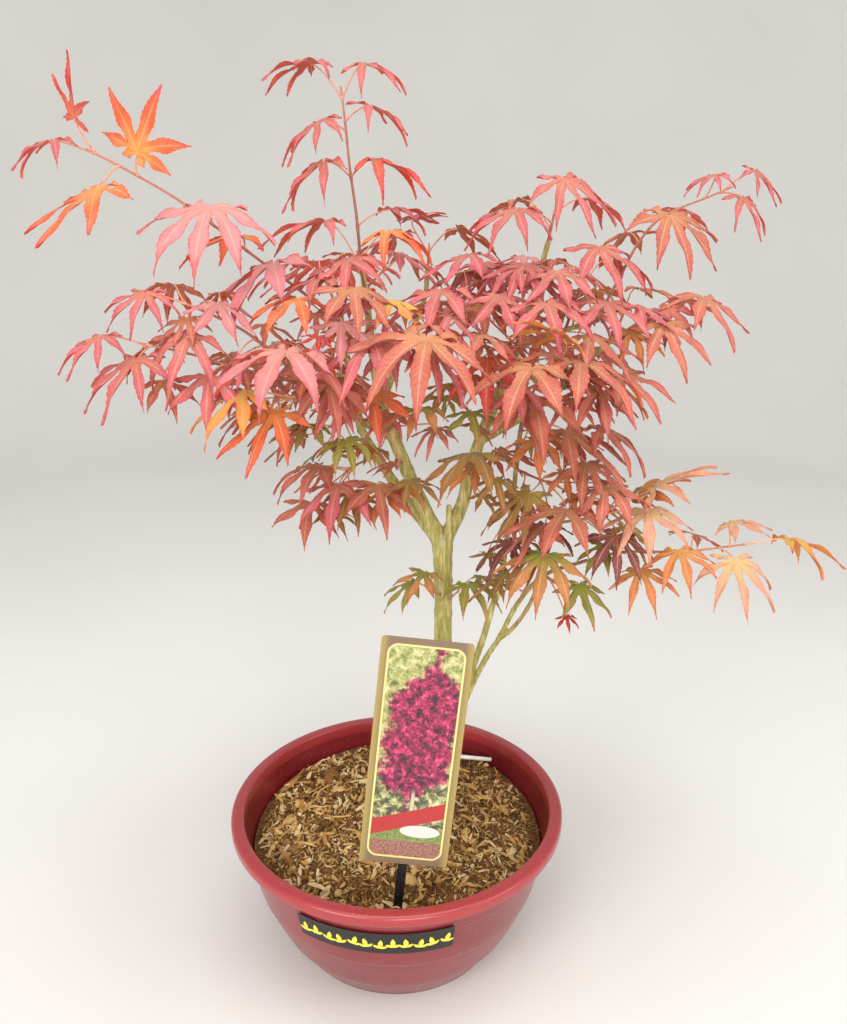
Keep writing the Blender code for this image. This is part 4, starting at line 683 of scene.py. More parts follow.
def chip_skin():
    """Shredded bark and coir: each chip has its own tone, from dark brown to straw, and a fibrous grain."""
    made, tree, shader = new_material("chip_skin", specular_ior_level=0.25)
    place = object_place(tree)
    fibre = speckle(tree, place, 900.0, 5.0, 0.7, 1.5)
    tone = stored(tree, "tone").outputs["Fac"]
    mixed_tone = plus(tree, tone, swing(tree, fibre, 0.5))
    drift = minus(tree, speckle(tree, place, 26.0, 2.0), 0.46)
    mixed_tone = plus(tree, mixed_tone, times(tree, drift, 0.9))
    colour = ramp(tree, mixed_tone, (0.0, srgb(66, 42, 26)), (0.2, srgb(120, 80, 44)),
                  (0.4, srgb(168, 122, 66)), (0.64, srgb(202, 158, 90)), (0.86, srgb(218, 180, 114)),
                  (1.0, srgb(230, 206, 158)))
    paint(tree, shader, colour, scaled(tree, fibre, 0.25, 0.62))
    relief(tree, shader, fibre, 0.7, 0.0006)
    return made


def rounded_frame(tree, x, z, half_width, half_height, corner):
    """Distance outside a rounded rectangle about the middle: below 0 inside it."""
    dx = minus(tree, maths(tree, "ABSOLUTE", x), half_width - corner)
    dz = minus(tree, maths(tree, "ABSOLUTE", z), half_height - corner)
    outer = maths(tree, "SQRT", plus(tree, maths(tree, "POWER", maths(tree, "MAXIMUM", dx, 0.0), 2.0),
                                     maths(tree, "POWER", maths(tree, "MAXIMUM", dz, 0.0), 2.0)))
    inner = maths(tree, "MINIMUM", maths(tree, "MAXIMUM", dx, dz), 0.0)
    return minus(tree, plus(tree, outer, inner), corner)


def card_skin():
    """A printed plant card: a gold frame round a crimson shrub, with a plain band and a plain oval."""
    made, tree, shader = new_material("card_skin", specular_ior_level=0.5, coat_weight=0.35,
                                      coat_roughness=0.12)
    spot = node(tree, "ShaderNodeUVMap", uv_map="print").outputs[0]
    split = node(tree, "ShaderNodeSeparateXYZ", {0: spot})
    x, z = split.outputs["X"], split.outputs["Y"]  # in units of 100 mm from the card's middle
    print_place = node(tree, "ShaderNodeMapping", {"Vector": spot}).outputs["Vector"]
    foliage = speckle(tree, print_place, 22.0, 6.0, 0.7, 0.4)
    fine = speckle(tree, print_place, 70.0, 4.0, 0.7)
    depth = plus(tree, foliage, swing(tree, fine, 0.5))
    crimson = ramp(tree, depth, (0.38, srgb(36, 12, 30)), (0.48, srgb(118, 18, 58)),
                   (0.58, srgb(186, 38, 90)), (0.74, srgb(228, 128, 158)))
    sky = ramp(tree, foliage, (0.35, srgb(84, 100, 52)), (0.5, srgb(160, 162, 96)),
               (0.66, srgb(214, 206, 158)))
    crest = step_between(tree, z, 0.62, 0.3)
    wide = times(tree, crest, step_between(tree, z, -0.34, -0.12))
    clump = speckle(tree, print_place, 9.0, 3.0, 0.6)
    rim = plus(tree, times(tree, wide, 0.2), swing(tree, fine, 0.16))
    rim = plus(tree, rim, swing(tree, clump, 0.3))
    middle = times(tree, plus(tree, z, 0.05), 0.11)
    aside = maths(tree, "ABSOLUTE", minus(tree, x, middle))
    shrub = step_between(tree, minus(tree, rim, aside), -0.02, 0.02)
    picture = mixed(tree, shrub, sky, crimson)
    shadow = times(tree, step_between(tree, z, 0.05, -0.3), step_between(tree, foliage, 0.62, 0.42))
    picture = mixed(tree, times(tree, shadow, 0.75), picture, rgba(srgb(40, 24, 44)))
    off_stem = maths(tree, "ABSOLUTE", minus(tree, x, times(tree, foliage, 0.03)))
    stem = step_between(tree, off_stem, 0.014, 0.006)
    stem = times(tree, stem, step_between(tree, z, -0.2, -0.26))
    picture = mixed(tree, stem, picture, rgba(srgb(198, 178, 150)))
    lawn = step_between(tree, z, -0.44, -0.46)
    picture = mixed(tree, lawn, picture,
                    ramp(tree, fine, (0.35, srgb(70, 96, 44)), (0.65, srgb(150, 160, 84))))
    ground = step_between(tree, z, -0.535, -0.55)
    picture = mixed(tree, ground, picture,
                    ramp(tree, fine, (0.35, srgb(104, 58, 52)), (0.65, srgb(176, 124, 106))))
    slope = minus(tree, z, times(tree, x, 0.33))
    band = step_between(tree, maths(tree, "ABSOLUTE", plus(tree, slope, 0.4)), 0.052, 0.047)
    picture = mixed(tree, band, picture, rgba(srgb(172, 36, 38)))
    oval = plus(tree, maths(tree, "POWER", maths(tree, "DIVIDE", minus(tree, x, 0.075), 0.115), 2.0),
                maths(tree, "POWER", maths(tree, "DIVIDE", plus(tree, z, 0.475), 0.038), 2.0))
    picture = mixed(tree, step_between(tree, oval, 1.06, 0.94), picture, rgba(srgb(206, 204, 196)))
    edge = rounded_frame(tree, x, z, 0.205, 0.64, 0.05)
    line = step_between(tree, maths(tree, "ABSOLUTE", minus(tree, edge, 0.006)), 0.007, 0.004)
    sides = step_between(tree, maths(tree, "ABSOLUTE", x), 0.2, 0.25)
    gold = mixed(tree, times(tree, sides, scaled(tree, fine, 0.3, 0.35)),
                 rgba(srgb(120, 98, 74)), rgba(srgb(188, 164, 70)))
    front = mixed(tree, step_between(tree, edge, 0.002, -0.002), gold, picture)
    front = mixed(tree, line, front, rgba(srgb(222, 208, 128)))
    back = stored(tree, "back").outputs["Fac"]
    plain = mixed(tree, times(tree, fine, 0.3), rgba(srgb(226, 222, 208)), rgba(srgb(200, 196, 184)))
    paint(tree, shader, mixed(tree, back, front, plain), scaled(tree, fine, 0.12, 0.26))
    relief(tree, shader, fine, 0.05, 0.0002)
    return made


def moulded_plastic(name, dark, light, dirt):
    """Plain moulded plastic with a fine grain and some dust."""
    made, tree, shader = new_material(name, specular_ior_level=0.5)
    place = object_place(tree)
    cloudy = speckle(tree, place, 60.0, 4.0)
    dusty = step_between(tree, speckle(tree, place, 380.0, 5.0, 0.7), 0.58, 0.75)
    colour = mixed(tree, times(tree, dusty, 0.45), ramp(tree, cloudy, (0.3, dark), (0.7, light)),
                   rgba(dirt))
    paint(tree, shader, colour, scaled(tree, dusty, 0.3, 0.34))
    relief(tree, shader, speckle(tree, place, 1500.0, 2.0), 0.12, 0.0002)
    return made


def gilt_ink():
    """Bright yellow-gold ink, a little worn."""
    made, tree, shader = new_material("gilt_ink", specular_ior_level=0.5)
    worn = speckle(tree, object_place(tree), 700.0, 4.0)
    gilt = ramp(tree, worn, (0.3, srgb(222, 200, 40)), (0.6, srgb(244, 230, 84)))
    paint(tree, shader, gilt, scaled(tree, worn, 0.2, 0.35))
    return made


# ---- leaf patterns ---------------------------------------------------------------------------------------

WEB_STEPS = 3  # rows of a lobe inside the web that joins it to the next
LOBE_STEPS = 21  # all rows of a lobe
ACROSS = (-1.0, -0.55, 0.0, 0.55, 1.0)
TOOTH = 0.011  # height of a tooth of the margin
CENTRE_COLUMN = 2
WIDEST = 0.42  # share of a lobe's length where it is widest
LOBE_FOOT = 0.55  # width at the palm, as a share of the widest
OUTER_WEB_TURN = 44  # degrees from an outer lobe to the web beyond it
OUTER_WEB_REACH = 0.055
SHORTEST_WEB = 0.05
WEB_DEPTH = 0.2  # how far out two full lobes part
WAVE = 0.024  # height of the ripple along a lobe's edge


class LeafPattern:
    """One flat leaf of length 1 as a thin closed blade: two skins that share the toothed margin."""

    def __init__(self, name, lobes, half_width, dice):
        self.lobes = [(math.radians(turn + dice.uniform(-4, 4) * (turn != 0)),
                       reach * dice.uniform(0.94, 1.04)) for turn, reach in lobes]
        self.half_width = half_width
        self.dice = dice
        self.index = {}
        self.rows = {key: [] for key in ("flat", "lift", "crease", "slack", "along", "across", "reach")}
        self.faces = []
        self.under = []
        self.webs = self.web_points()
        for number in range(len(self.lobes)):
            self.add_lobe(number)
        self.made = self.as_object(name)

    def web_points(self):
        """Where neighbouring lobes part: one point between each two, and one beyond each outer lobe."""
        first, last = self.lobes[0], self.lobes[-1]
        webs = [(first[0] - math.radians(OUTER_WEB_TURN), OUTER_WEB_REACH)]
        for (a, long_a), (b, long_b) in zip(self.lobes, self.lobes[1:]):
            depth = WEB_DEPTH * min(1.0, long_a + long_b - 0.45)
            webs.append(((a + b) / 2, depth + self.dice.uniform(-0.02, 0.02)))
        webs.append((last[0] + math.radians(OUTER_WEB_TURN), OUTER_WEB_REACH))
        return [Vector((math.cos(a), math.sin(a))) * r for a, r in webs]

    def vertex(self, key, spot, lift, values):
        if key not in self.index:
            self.index[key] = len(self.index)
            crease, slack, along, across, wave = values
            self.rows["flat"].append((spot.x, spot.y, wave))
            for name, value in (("lift", lift), ("crease", crease), ("slack", slack), ("along", along),
                                ("across", across), ("reach", spot.length)):
                self.rows[name].append(value)
        return self.index[key]

    def width_at(self, share):
        """Half a lobe's width at a share of its length: widest before the middle, then drawn out."""
        swell = math.sin(math.pi * min(1.0, share * 0.5 / WIDEST) * 0.5) if share < WIDEST else 1.0
        taper = 1.0 if share < WIDEST else max(0.0, 1.0 - ((share - WIDEST) / (1 - WIDEST)) ** 1.35) ** 1.25
        return self.half_width * lerp(LOBE_FOOT, 1.0, swell) * taper

    def add_lobe(self, number):
        turn, reach = self.lobes[number]
        along = Vector((math.cos(turn), math.sin(turn)))
        sideways = Vector((-along.y, along.x))
        bow = self.dice.uniform(-0.07, 0.07) + 0.03 * (1 if turn < 0 else -1 if turn > 0 else 0)
        slack = self.dice.uniform(0.6, 1.45)
        ripple = self.dice.uniform(0, 6.28)  # a full turn
        narrow = 0.62 + 0.38 * min(1.0, reach / 0.8)
        web = (self.webs[number], self.webs[number + 1])
        web_along = sum(w.dot(along) for w in web) / 2
        grid = {}
        for row in range(LOBE_STEPS + 1):
            start = max(web_along, SHORTEST_WEB)
            if row <= WEB_STEPS:
                distance = start * row / WEB_STEPS
            else:
                distance = lerp(start, reach, (row - WEB_STEPS) / (LOBE_STEPS - WEB_STEPS))
            share = distance / reach
            middle = along * distance + sideways * (bow * reach * share * share)
            for column, across in enumerate(ACROSS):
                edge = self.margin(web[across > 0], across, row, distance, reach, narrow, along, sideways,
                                   middle)
                spot = middle.lerp(edge, abs(across))
                crease = (spot - middle).length
                wave = WAVE * math.sin(ripple + 10.0 * share + 2.5 * across) * abs(across)
                wave *= smoothstep(0.1, 0.4, share)
                values = (crease, lerp(1.0, slack, smoothstep(0.1, 0.5, distance)), share, across, wave)
                for side in (1, -1):
                    grid[side, row, column] = self.place(number, row, column, side, spot, values)
        self.fill(grid)

    def margin(self, web, across, row, distance, reach, narrow, along, sideways, middle):
        if across == 0:
            return middle
        if row <= WEB_STEPS:
            return web * (row / WEB_STEPS)
        share = distance / reach
        web_width = abs(web.dot(sideways))
        grown = smoothstep(0.0, 0.45, (row - WEB_STEPS) / (LOBE_STEPS - WEB_STEPS))
        width = lerp(web_width * max(0.0, 1 - share) ** 0.3, self.width_at(share) * narrow, grown)
        out = row % 2 == 0
        fade = 1.0 if row < LOBE_STEPS else 0.0
        width += TOOTH * (0.7 if out else -0.3) * fade * (1.0 - share * 0.5)
        forward = TOOTH * (1.3 if out else 0.0)
        return middle + sideways * math.copysign(max(0.0, width) * fade, across) + along * (forward * fade)

    def place(self, number, row, column, side, spot, values):
        """The vertex of this grid place. Lobes share it in the web, and both skins on the margin."""
        on_edge = column in (0, len(ACROSS) - 1)
        web = number + (column > CENTRE_COLUMN)
        outer_web = web in (0, len(self.lobes))
        if row == 0:
            return self.vertex(("palm", side), Vector((0.0, 0.0)), side, (0.0, 1.0, 0.0, 0.0, 0.0))
        if row == LOBE_STEPS:
            return self.vertex(("tip", number), spot, 0, values)
        if on_edge and row <= WEB_STEPS:
            margin = row == WEB_STEPS or outer_web
            key = ("web", web, row, 0 if margin else side)
            return self.vertex(key, spot, 0 if margin else side,
                               (values[0], 1.0, values[2], values[3], 0.0))
        if on_edge:
            return self.vertex(("margin", number, row, column), spot, 0, values)
        return self.vertex(("skin", number, row, column, side), spot, side, values)

    def fill(self, grid):
        for side in (1, -1):
            for row in range(LOBE_STEPS):
                for column in range(len(ACROSS) - 1):
                    corners = [grid[side, row, column], grid[side, row + 1, column],
                               grid[side, row + 1, column + 1], grid[side, row, column + 1]]
                    face = [c for i, c in enumerate(corners) if c != corners[i - 1]]
                    if len(face) > 2:
                        self.faces.append(face if side > 0 else face[::-1])
                        self.under.append(1.0 if side < 0 else 0.0)

    def as_object(self, name):
        made = new_object(name, [(0, 0, 0)] * len(self.index), self.faces)
        mesh = made.data
        for key, values in self.rows.items():
            add_values(mesh, key, "FLOAT_VECTOR" if key == "flat" else "FLOAT", values)
        add_values(mesh, "underside", "FLOAT", self.under, "FACE")
        mesh.vertices.foreach_set("co", [c for spot in self.rows["flat"] for c in spot])
        shade_smooth(made)
        on_margin = {i for i, lift in enumerate(self.rows["lift"]) if lift == 0}
        sharp = [edge.vertices[0] in on_margin and edge.vertices[1] in on_margin for edge in mesh.edges]
        add_values(mesh, "sharp_edge", "BOOLEAN", sharp, "EDGE")
        return made


# ---- trees of geometry nodes -----------------------------------------------------------------------------

def geometry_tree(name, *inputs):
    """A tree with a Geometry input and output and these (name, socket kind, default) inputs."""
    tree = bpy.data.node_groups.new(name, "GeometryNodeTree")
    tree.interface.new_socket("Geometry", in_out="INPUT", socket_type="NodeSocketGeometry")
    tree.interface.new_socket("Geometry", in_out="OUTPUT", socket_type="NodeSocketGeometry")
    for label, kind, default in inputs:
        socket = tree.interface.new_socket(label, in_out="INPUT", socket_type="NodeSocket" + kind)
        if default is not None:
            socket.default_value = default
    return tree, node(tree, "NodeGroupInput"), node(tree, "NodeGroupOutput")


def run_tree(thing, tree, **values):
    """Runs the tree on the object with its named inputs set by identifier, and keeps the plain mesh."""
    modifier = thing.modifiers.new(tree.name, "NODES")
    modifier.node_group = tree
    for item in tree.interface.items_tree:
        label = item.name.replace(" ", "_").lower()
        if item.in_out == "INPUT" and label in values:
            modifier[item.identifier] = values[label]
    return grown_mesh(thing)


def named(tree, name, kind="FLOAT"):
    made = node(tree, "GeometryNodeInputNamedAttribute", {"Name": name}, data_type=kind)
    return next(s for s in made.outputs if s.enabled and s.name == "Attribute")


def tube_nodes(tree, lines, sides):
    """Round tubes along polylines, as thick as their radius attribute says, with closed ends."""
    curve = node(tree, "GeometryNodeMeshToCurve", {"Mesh": lines}).outputs[0]
    curve = node(tree, "GeometryNodeSetCurveRadius",
                 {"Curve": curve, "Radius": named(tree, "radius")}).outputs[0]
    circle = node(tree, "GeometryNodeCurvePrimitiveCircle", {"Resolution": sides, "Radius": 1.0}).outputs[0]
    tube = node(tree, "GeometryNodeCurveToMesh",
                {"Curve": curve, "Profile Curve": circle, "Fill Caps": True})
    tree.links.new(named(tree, "radius"), tube.inputs["Scale"])
    return node(tree, "GeometryNodeSetShadeSmooth", {"Geometry": tube.outputs[0]}).outputs[0]


def bend_nodes(tree, thickness):
    """Each leaf point's place: out along its own direction from the palm, and bowed towards the ground."""
    flat = node(tree, "ShaderNodeSeparateXYZ", {0: named(tree, "flat", "FLOAT_VECTOR")})
    ahead = named(tree, "ahead", "FLOAT_VECTOR")
    top = named(tree, "top", "FLOAT_VECTOR")
    size = named(tree, "size")
    side = vector_maths(tree, "CROSS_PRODUCT", top, ahead)
    out = vector_maths(tree, "ADD", vector_maths(tree, "SCALE", ahead, scale=flat.outputs[0]),
                       vector_maths(tree, "SCALE", side, scale=flat.outputs[1]))
    share = vector_maths(tree, "LENGTH", out)
    way = vector_maths(tree, "NORMALIZE", out)
    down = node(tree, "ShaderNodeCombineXYZ", {2: -1.0}).outputs[0]
    sink = vector_maths(tree, "SUBTRACT", down, vector_maths(
        tree, "SCALE", way, scale=vector_maths(tree, "DOT_PRODUCT", way, down)))
    freedom = vector_maths(tree, "LENGTH", sink)
    sink = vector_maths(tree, "NORMALIZE", sink)
    angle = times(tree, times(tree, named(tree, "hang"), named(tree, "slack")),
                  times(tree, share, freedom))
    angle = plus(tree, angle, 0.0001)
    radius = maths(tree, "DIVIDE", times(tree, share, size), angle)
    forward = times(tree, radius, maths(tree, "SINE", angle))
    lower = times(tree, radius, minus(tree, 1.0, maths(tree, "COSINE", angle)))
    lean = node(tree, "ShaderNodeVectorRotate", {"Vector": top, "Axis": vector_maths(
        tree, "CROSS_PRODUCT", way, sink), "Angle": angle}, rotation_type="AXIS_ANGLE").outputs[0]
    height = plus(tree, flat.outputs[2], times(tree, named(tree, "fold"),
                                                       named(tree, "crease")))
    height = plus(tree, times(tree, height, size),
                   times(tree, named(tree, "lift"), times(tree, thickness, 0.5)))
    spot = vector_maths(tree, "ADD", named(tree, "palm", "FLOAT_VECTOR"),
                        vector_maths(tree, "SCALE", way, scale=forward))
    spot = vector_maths(tree, "ADD", spot, vector_maths(tree, "SCALE", sink, scale=lower))
    return vector_maths(tree, "ADD", spot, vector_maths(tree, "SCALE", lean, scale=height))


def shoot_tree(leaf_material, stalk_material):
    """Turns a shoot's lines into twigs and stalks, and its leaf seats into leaves that hang from the palm."""
    tree, start, end = geometry_tree("leafy shoot", ("Leaf Patterns", "Collection", None),
                                     ("Blade Thickness", "Float", 0.0004), ("Stem Sides", "Int", 8))
    seats = node(tree, "GeometryNodeSeparateGeometry",
                 {"Geometry": start.outputs["Geometry"], "Selection": named(tree, "is_leaf", "BOOLEAN")},
                 domain="POINT")
    palm = node(tree, "GeometryNodeStoreNamedAttribute",
                {"Geometry": seats.outputs[0], "Name": "palm",
                 "Value": node(tree, "GeometryNodeInputPosition").outputs[0]}, data_type="FLOAT_VECTOR")
    patterns = node(tree, "GeometryNodeCollectionInfo", {"Collection": start.outputs["Leaf Patterns"],
                                                         "Separate Children": True, "Reset Children": True})
    leaves = node(tree, "GeometryNodeInstanceOnPoints",
                  {"Points": palm.outputs[0], "Instance": patterns.outputs[0], "Pick Instance": True,
                   "Instance Index": named(tree, "pattern", "INT")})
    leaves = node(tree, "GeometryNodeRealizeInstances", {"Geometry": leaves.outputs[0]})
    leaves = node(tree, "GeometryNodeSetPosition",
                  {"Geometry": leaves.outputs[0],
                   "Position": bend_nodes(tree, start.outputs["Blade Thickness"])})
    leaves = node(tree, "GeometryNodeSetMaterial",
                  {"Geometry": leaves.outputs[0], "Material": leaf_material})
    stems = tube_nodes(tree, seats.outputs[1], start.outputs["Stem Sides"])
    stems = node(tree, "GeometryNodeSetMaterial", {"Geometry": stems, "Material": stalk_material})
    both = node(tree, "GeometryNodeJoinGeometry")
    tree.links.new(leaves.outputs[0], both.inputs[0])
    tree.links.new(stems.outputs[0], both.inputs[0])
    tree.links.new(both.outputs[0], end.inputs[0])
    return tree


def limb_tree():
    tree, start, end = geometry_tree("limbs along their routes", ("Sides", "Int", 16))
    tree.links.new(tube_nodes(tree, start.outputs["Geometry"], start.outputs["Sides"]), end.inputs[0])
    return tree


# ---- shoots ----------------------------------------------------------------------------------------------

class Lines:
    """Points, edges and per-point values of a shoot before its tree grows it."""

    KINDS = {"is_leaf": "BOOLEAN", "pattern": "INT", "ahead": "FLOAT_VECTOR", "top": "FLOAT_VECTOR",
             "size": "FLOAT", "hang": "FLOAT", "fold": "FLOAT", "radius": "FLOAT", "heart": "FLOAT_COLOR",
             "blade": "FLOAT_COLOR", "tip": "FLOAT_COLOR", "under": "FLOAT_COLOR"}
    PLAIN = {"is_leaf": False, "pattern": 0, "ahead": (1, 0, 0), "top": (0, 0, 1), "size": 0.0, "hang": 0.0,
             "fold": 0.0, "radius": 0.0, "heart": (0, 0, 0), "blade": (0, 0, 0), "tip": (0, 0, 0),
             "under": (0, 0, 0)}

    def __init__(self):
        self.points = []
        self.edges = []
        self.values = {key: [] for key in self.KINDS}

    def add(self, point, **values):
        self.points.append(point)
        for key, column in self.values.items():
            column.append(values.get(key, self.PLAIN[key]))

    def add_line(self, route, radii, colours):
        first = len(self.points)
        for point, radius, colour in zip(route, radii, colours):
            self.add(point, radius=radius * MM, blade=colour)
        self.edges += [(i, i + 1) for i in range(first, len(self.points) - 1)]

    def as_object(self, name):
        made = new_object(name, self.points, [], self.edges)
        for key, kind in self.KINDS.items():
            add_values(made.data, key, kind, self.values[key])
        return made


def arc_lengths(route):
    lengths = [0.0]
    for a, b in zip(route, route[1:]):
        lengths.append(lengths[-1] + (b - a).length)
    return lengths


def point_at(route, lengths, distance):
    for i in range(1, len(route)):
        if distance <= lengths[i] or i == len(route) - 1:
            return lerp(route[i - 1], route[i], (distance - lengths[i - 1]) / (lengths[i] - lengths[i - 1]))


def varied(colour, dice, spread):
    """The colour a little lighter or darker, and a little redder or yellower."""
    light = 1 + dice.uniform(-spread, spread)
    warm = dice.uniform(-spread, spread) * 0.6
    return tuple(min(1.0, c * light * (1 + warm * w)) for c, w in zip(colour, (0.3, 1.0, -0.6)))


TWIG_COLOUR = srgb(132, 66, 56)
YOUNG_TWIG_COLOUR = srgb(186, 108, 92)
GREEN_TWIG_COLOUR = srgb(150, 130, 76)
STALK_COLOUR = srgb(226, 158, 130)
NODE_PITCH = 3.4  # along the twig, between the nodes that its leaves leave from
FIRST_NODE = 3.5
TWIG_SAMPLES = 40
TWIG_STEP = 1.6
TWIG_RADII = (0.95, 0.5)  # at its foot and at its tip
KNOT_SWELL = 0.35
KNOT_LENGTH = 1.3
STALK_FOOT_RADIUS = 0.8
STALK_RADII = (0.55, 0.34)
STALK_PALM_RADIUS = 0.5
HANG = {"narrow": (0.8, 1.2), "broad": (0.6, 1.1)}  # how far a blade bows to the ground, in radians
FOLD = {"narrow": (0.35, 0.8), "broad": (-0.5, 0.6)}  # how steeply its lobes crease along their midribs
EDGE_HANG = 0.35  # of a leaf turned on edge
TONE_SPREAD = 0.09
OPEN_SHOOTS = ("crown", "left_whip", "right_whip", "low_whip", "green_tip", "trunk_left", "trunk_right")
INNER_TONES = ("CBPTCP", "VBTNVC")  # in the upper crown, and lower down
UPPER_CROWN = 300


def stalk_curve(start, outward, end, arrival, parts=7):
    reach = (end - start).length
    a = start + outward * (0.35 * reach)
    b = end - arrival * (0.3 * reach)
    route = []
    for i in range(parts + 1):
        t = i / parts
        u = 1 - t
        route.append(start * u ** 3 + a * (3 * t * u ** 2) + b * (3 * t * t * u) + end * t ** 3)
    return route


def leaf_pose(leaf, habit, dice):
    """(ahead, top, hang, fold) of a leaf. It starts above its chord and bows down to its tip's place."""
    hang = dice.uniform(*HANG[habit])
    if len(leaf) > 6:
        hang = EDGE_HANG
    raised = leaf[4] + math.degrees(hang / 2 - 0.22)
    ahead = direction(leaf[3], raised)
    face = direction(leaf[6], 20) if len(leaf) > 6 else Vector((0, 0, 1))
    roll = Matrix.Rotation(math.radians(dice.uniform(-10, 10)), 3, ahead)
    top = roll @ (face - ahead * face.dot(ahead)).normalized()
    return ahead, top, hang, dice.uniform(*FOLD[habit])


def leaf_tones(tone, dice):
    return dict(zip(("heart", "blade", "tip", "under"),
                    (varied(c, dice, TONE_SPREAD) for c in TONES[tone])))


def add_leaf(lines, start, outward, leaf, tone, habit, dice):
    ahead, top, hang, fold = leaf_pose(leaf, habit, dice)
    palm = plant_point(leaf)
    tones = leaf_tones(tone, dice)
    pattern = dice.randrange(FIRST_NARROW,
                             len(PATTERNS)) if habit == "narrow" else dice.randrange(FIRST_NARROW)
    lines.add(palm, is_leaf=True, pattern=pattern, ahead=ahead, top=top, size=leaf[5] * MM, hang=hang,
              fold=fold,
              **tones)
    route = stalk_curve(start, outward, palm - top * 0.1, ahead)
    count = len(route)
    radii = [lerp(*STALK_RADII, i / (count - 1)) for i in range(count)]
    radii[0] = STALK_FOOT_RADIUS
    radii[-1] = STALK_PALM_RADIUS
    stalk = tuple(lerp(a, b, 0.35) for a, b in zip(STALK_COLOUR, tones["heart"]))
    lines.add_line(route, radii, [stalk] * count)


def place_nodes(route, lengths, leaves):
    """Each leaf's (number, distance along the twig), and the nodes. Two leaves may share a node."""
    steps = [lengths[-1] * i / TWIG_SAMPLES for i in range(TWIG_SAMPLES + 1)]
    wanted = []
    for number, leaf in enumerate(leaves):
        palm = plant_point(leaf)
        away, nearest = min(((palm - point_at(route, lengths, s)).length, s) for s in steps)
        wanted.append((max(FIRST_NODE, nearest - 0.35 * away), number))
    nodes = []
    placed = []
    for distance, number in sorted(wanted):
        if nodes and distance < nodes[-1] + NODE_PITCH:
            if sum(1 for _, at in placed if at == nodes[-1]) >= 2:
                nodes.append(nodes[-1] + NODE_PITCH)
        else:
            nodes.append(distance)
        placed.append((number, nodes[-1]))
    return placed, nodes


def mean_height(leaves):
    return sum(leaf[2] for leaf in leaves) / len(leaves)


def inner_leaves(name, leaves, tones, dice):
    """Smaller, older leaves behind and below a shoot's outer ones, for the shoots inside the crown."""
    height = mean_height(leaves)
    if name in OPEN_SHOOTS or height > PINK_ABOVE + 20:
        return leaves, tones
    inner, inner_tones = [], ""
    for leaf in leaves:
        palm = Vector(leaf[:3])
        palm += Vector((dice.uniform(-8, 8) - 0.12 * palm.x, dice.uniform(4, 14), dice.uniform(-13, -4)))
        inner.append((*palm, leaf[3] + dice.uniform(-55, 55), leaf[4] + dice.uniform(-12, 6),
                      leaf[5] * dice.uniform(0.55, 0.78)))
        inner_tones += dice.choice(INNER_TONES[height < UPPER_CROWN])
    return tuple(leaves) + tuple(inner), tones + inner_tones


def shoot_lines(name, table):
    """The twig, its stalks and its leaf seats."""
    twig, leaves, tones = table
    dice = random.Random(name)
    leaves, tones = inner_leaves(name, leaves, tones, dice)
    habit = "narrow" if name in NARROW_LEAVED else "broad"
    route = [Vector(p) for p in smooth_route([tuple(plant_point(p)) for p in twig], 6)]
    lengths = arc_lengths(route)
    placed, nodes = place_nodes(route, lengths, leaves)
    end = max(lengths[-1], nodes[-1] + 1.5)
    count = max(4, round(end / TWIG_STEP))
    lines = Lines()
    points = [point_at(route, lengths, end * i / count) for i in range(count + 1)]
    low = mean_height(leaves) < OLIVE_BELOW
    radii, colours = [], []
    for i in range(count + 1):
        here = end * i / count
        knot = sum(math.exp(-((here - n) / KNOT_LENGTH) ** 2) for n in nodes)
        radii.append(lerp(*TWIG_RADII, i / count) * (1 + KNOT_SWELL * min(1.0, knot)))
        old = GREEN_TWIG_COLOUR if low else TWIG_COLOUR
        colours.append(tuple(lerp(a, b, (i / count) ** 1.4) for a, b in zip(old, YOUNG_TWIG_COLOUR)))
    lines.add_line(points, radii, colours)
    for number, distance in placed:
        start = point_at(route, lengths, distance)
        ahead = (point_at(route, lengths, distance + 1) - start).normalized()
        outward = plant_point(leaves[number]) - start
        outward = (outward.normalized() + ahead * 0.4).normalized()
        shape = "narrow" if (name, number) in SLENDER_LEAVES else habit
        add_leaf(lines, start, outward, leaves[number], tones[number], shape, dice)
    return lines


def build_shoots():
    dice = random.Random(11)
    patterns = bpy.data.collections.new("leaf patterns")
    for number, (lobes, half_width) in enumerate(PATTERNS):
        made = LeafPattern(f"leaf_pattern_{number}", lobes, half_width, dice).made
        bpy.context.scene.collection.objects.unlink(made)
        patterns.objects.link(made)
    tree = shoot_tree(leaf_skin(), stalk_skin())
    for name, table in SHOOTS.items():
        piece = run_tree(shoot_lines(name, table).as_object("leafy_" + name), tree, leaf_patterns=patterns)
        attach(piece, "root")
        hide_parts("shoot_" + name)
    drop(patterns.objects)
    bpy.data.collections.remove(patterns)


# ---- wood ------------------------------------------------------------------------------------------------

RING_PITCH = 21.0  # between the ring-like leaf scars of a limb
RING_LENGTH = 1.4
FORK_FLARE = 0.3  # how much thicker a limb is where it leaves its parent
FLARE_LENGTH = 7.0
BARK_VOXEL = 0.00072
FORK_HEIGHT = SOIL_AT_TRUNK + 204.0
BARK_REACH = 0.0068  # how far a point of the bark looks for the limb that it belongs to


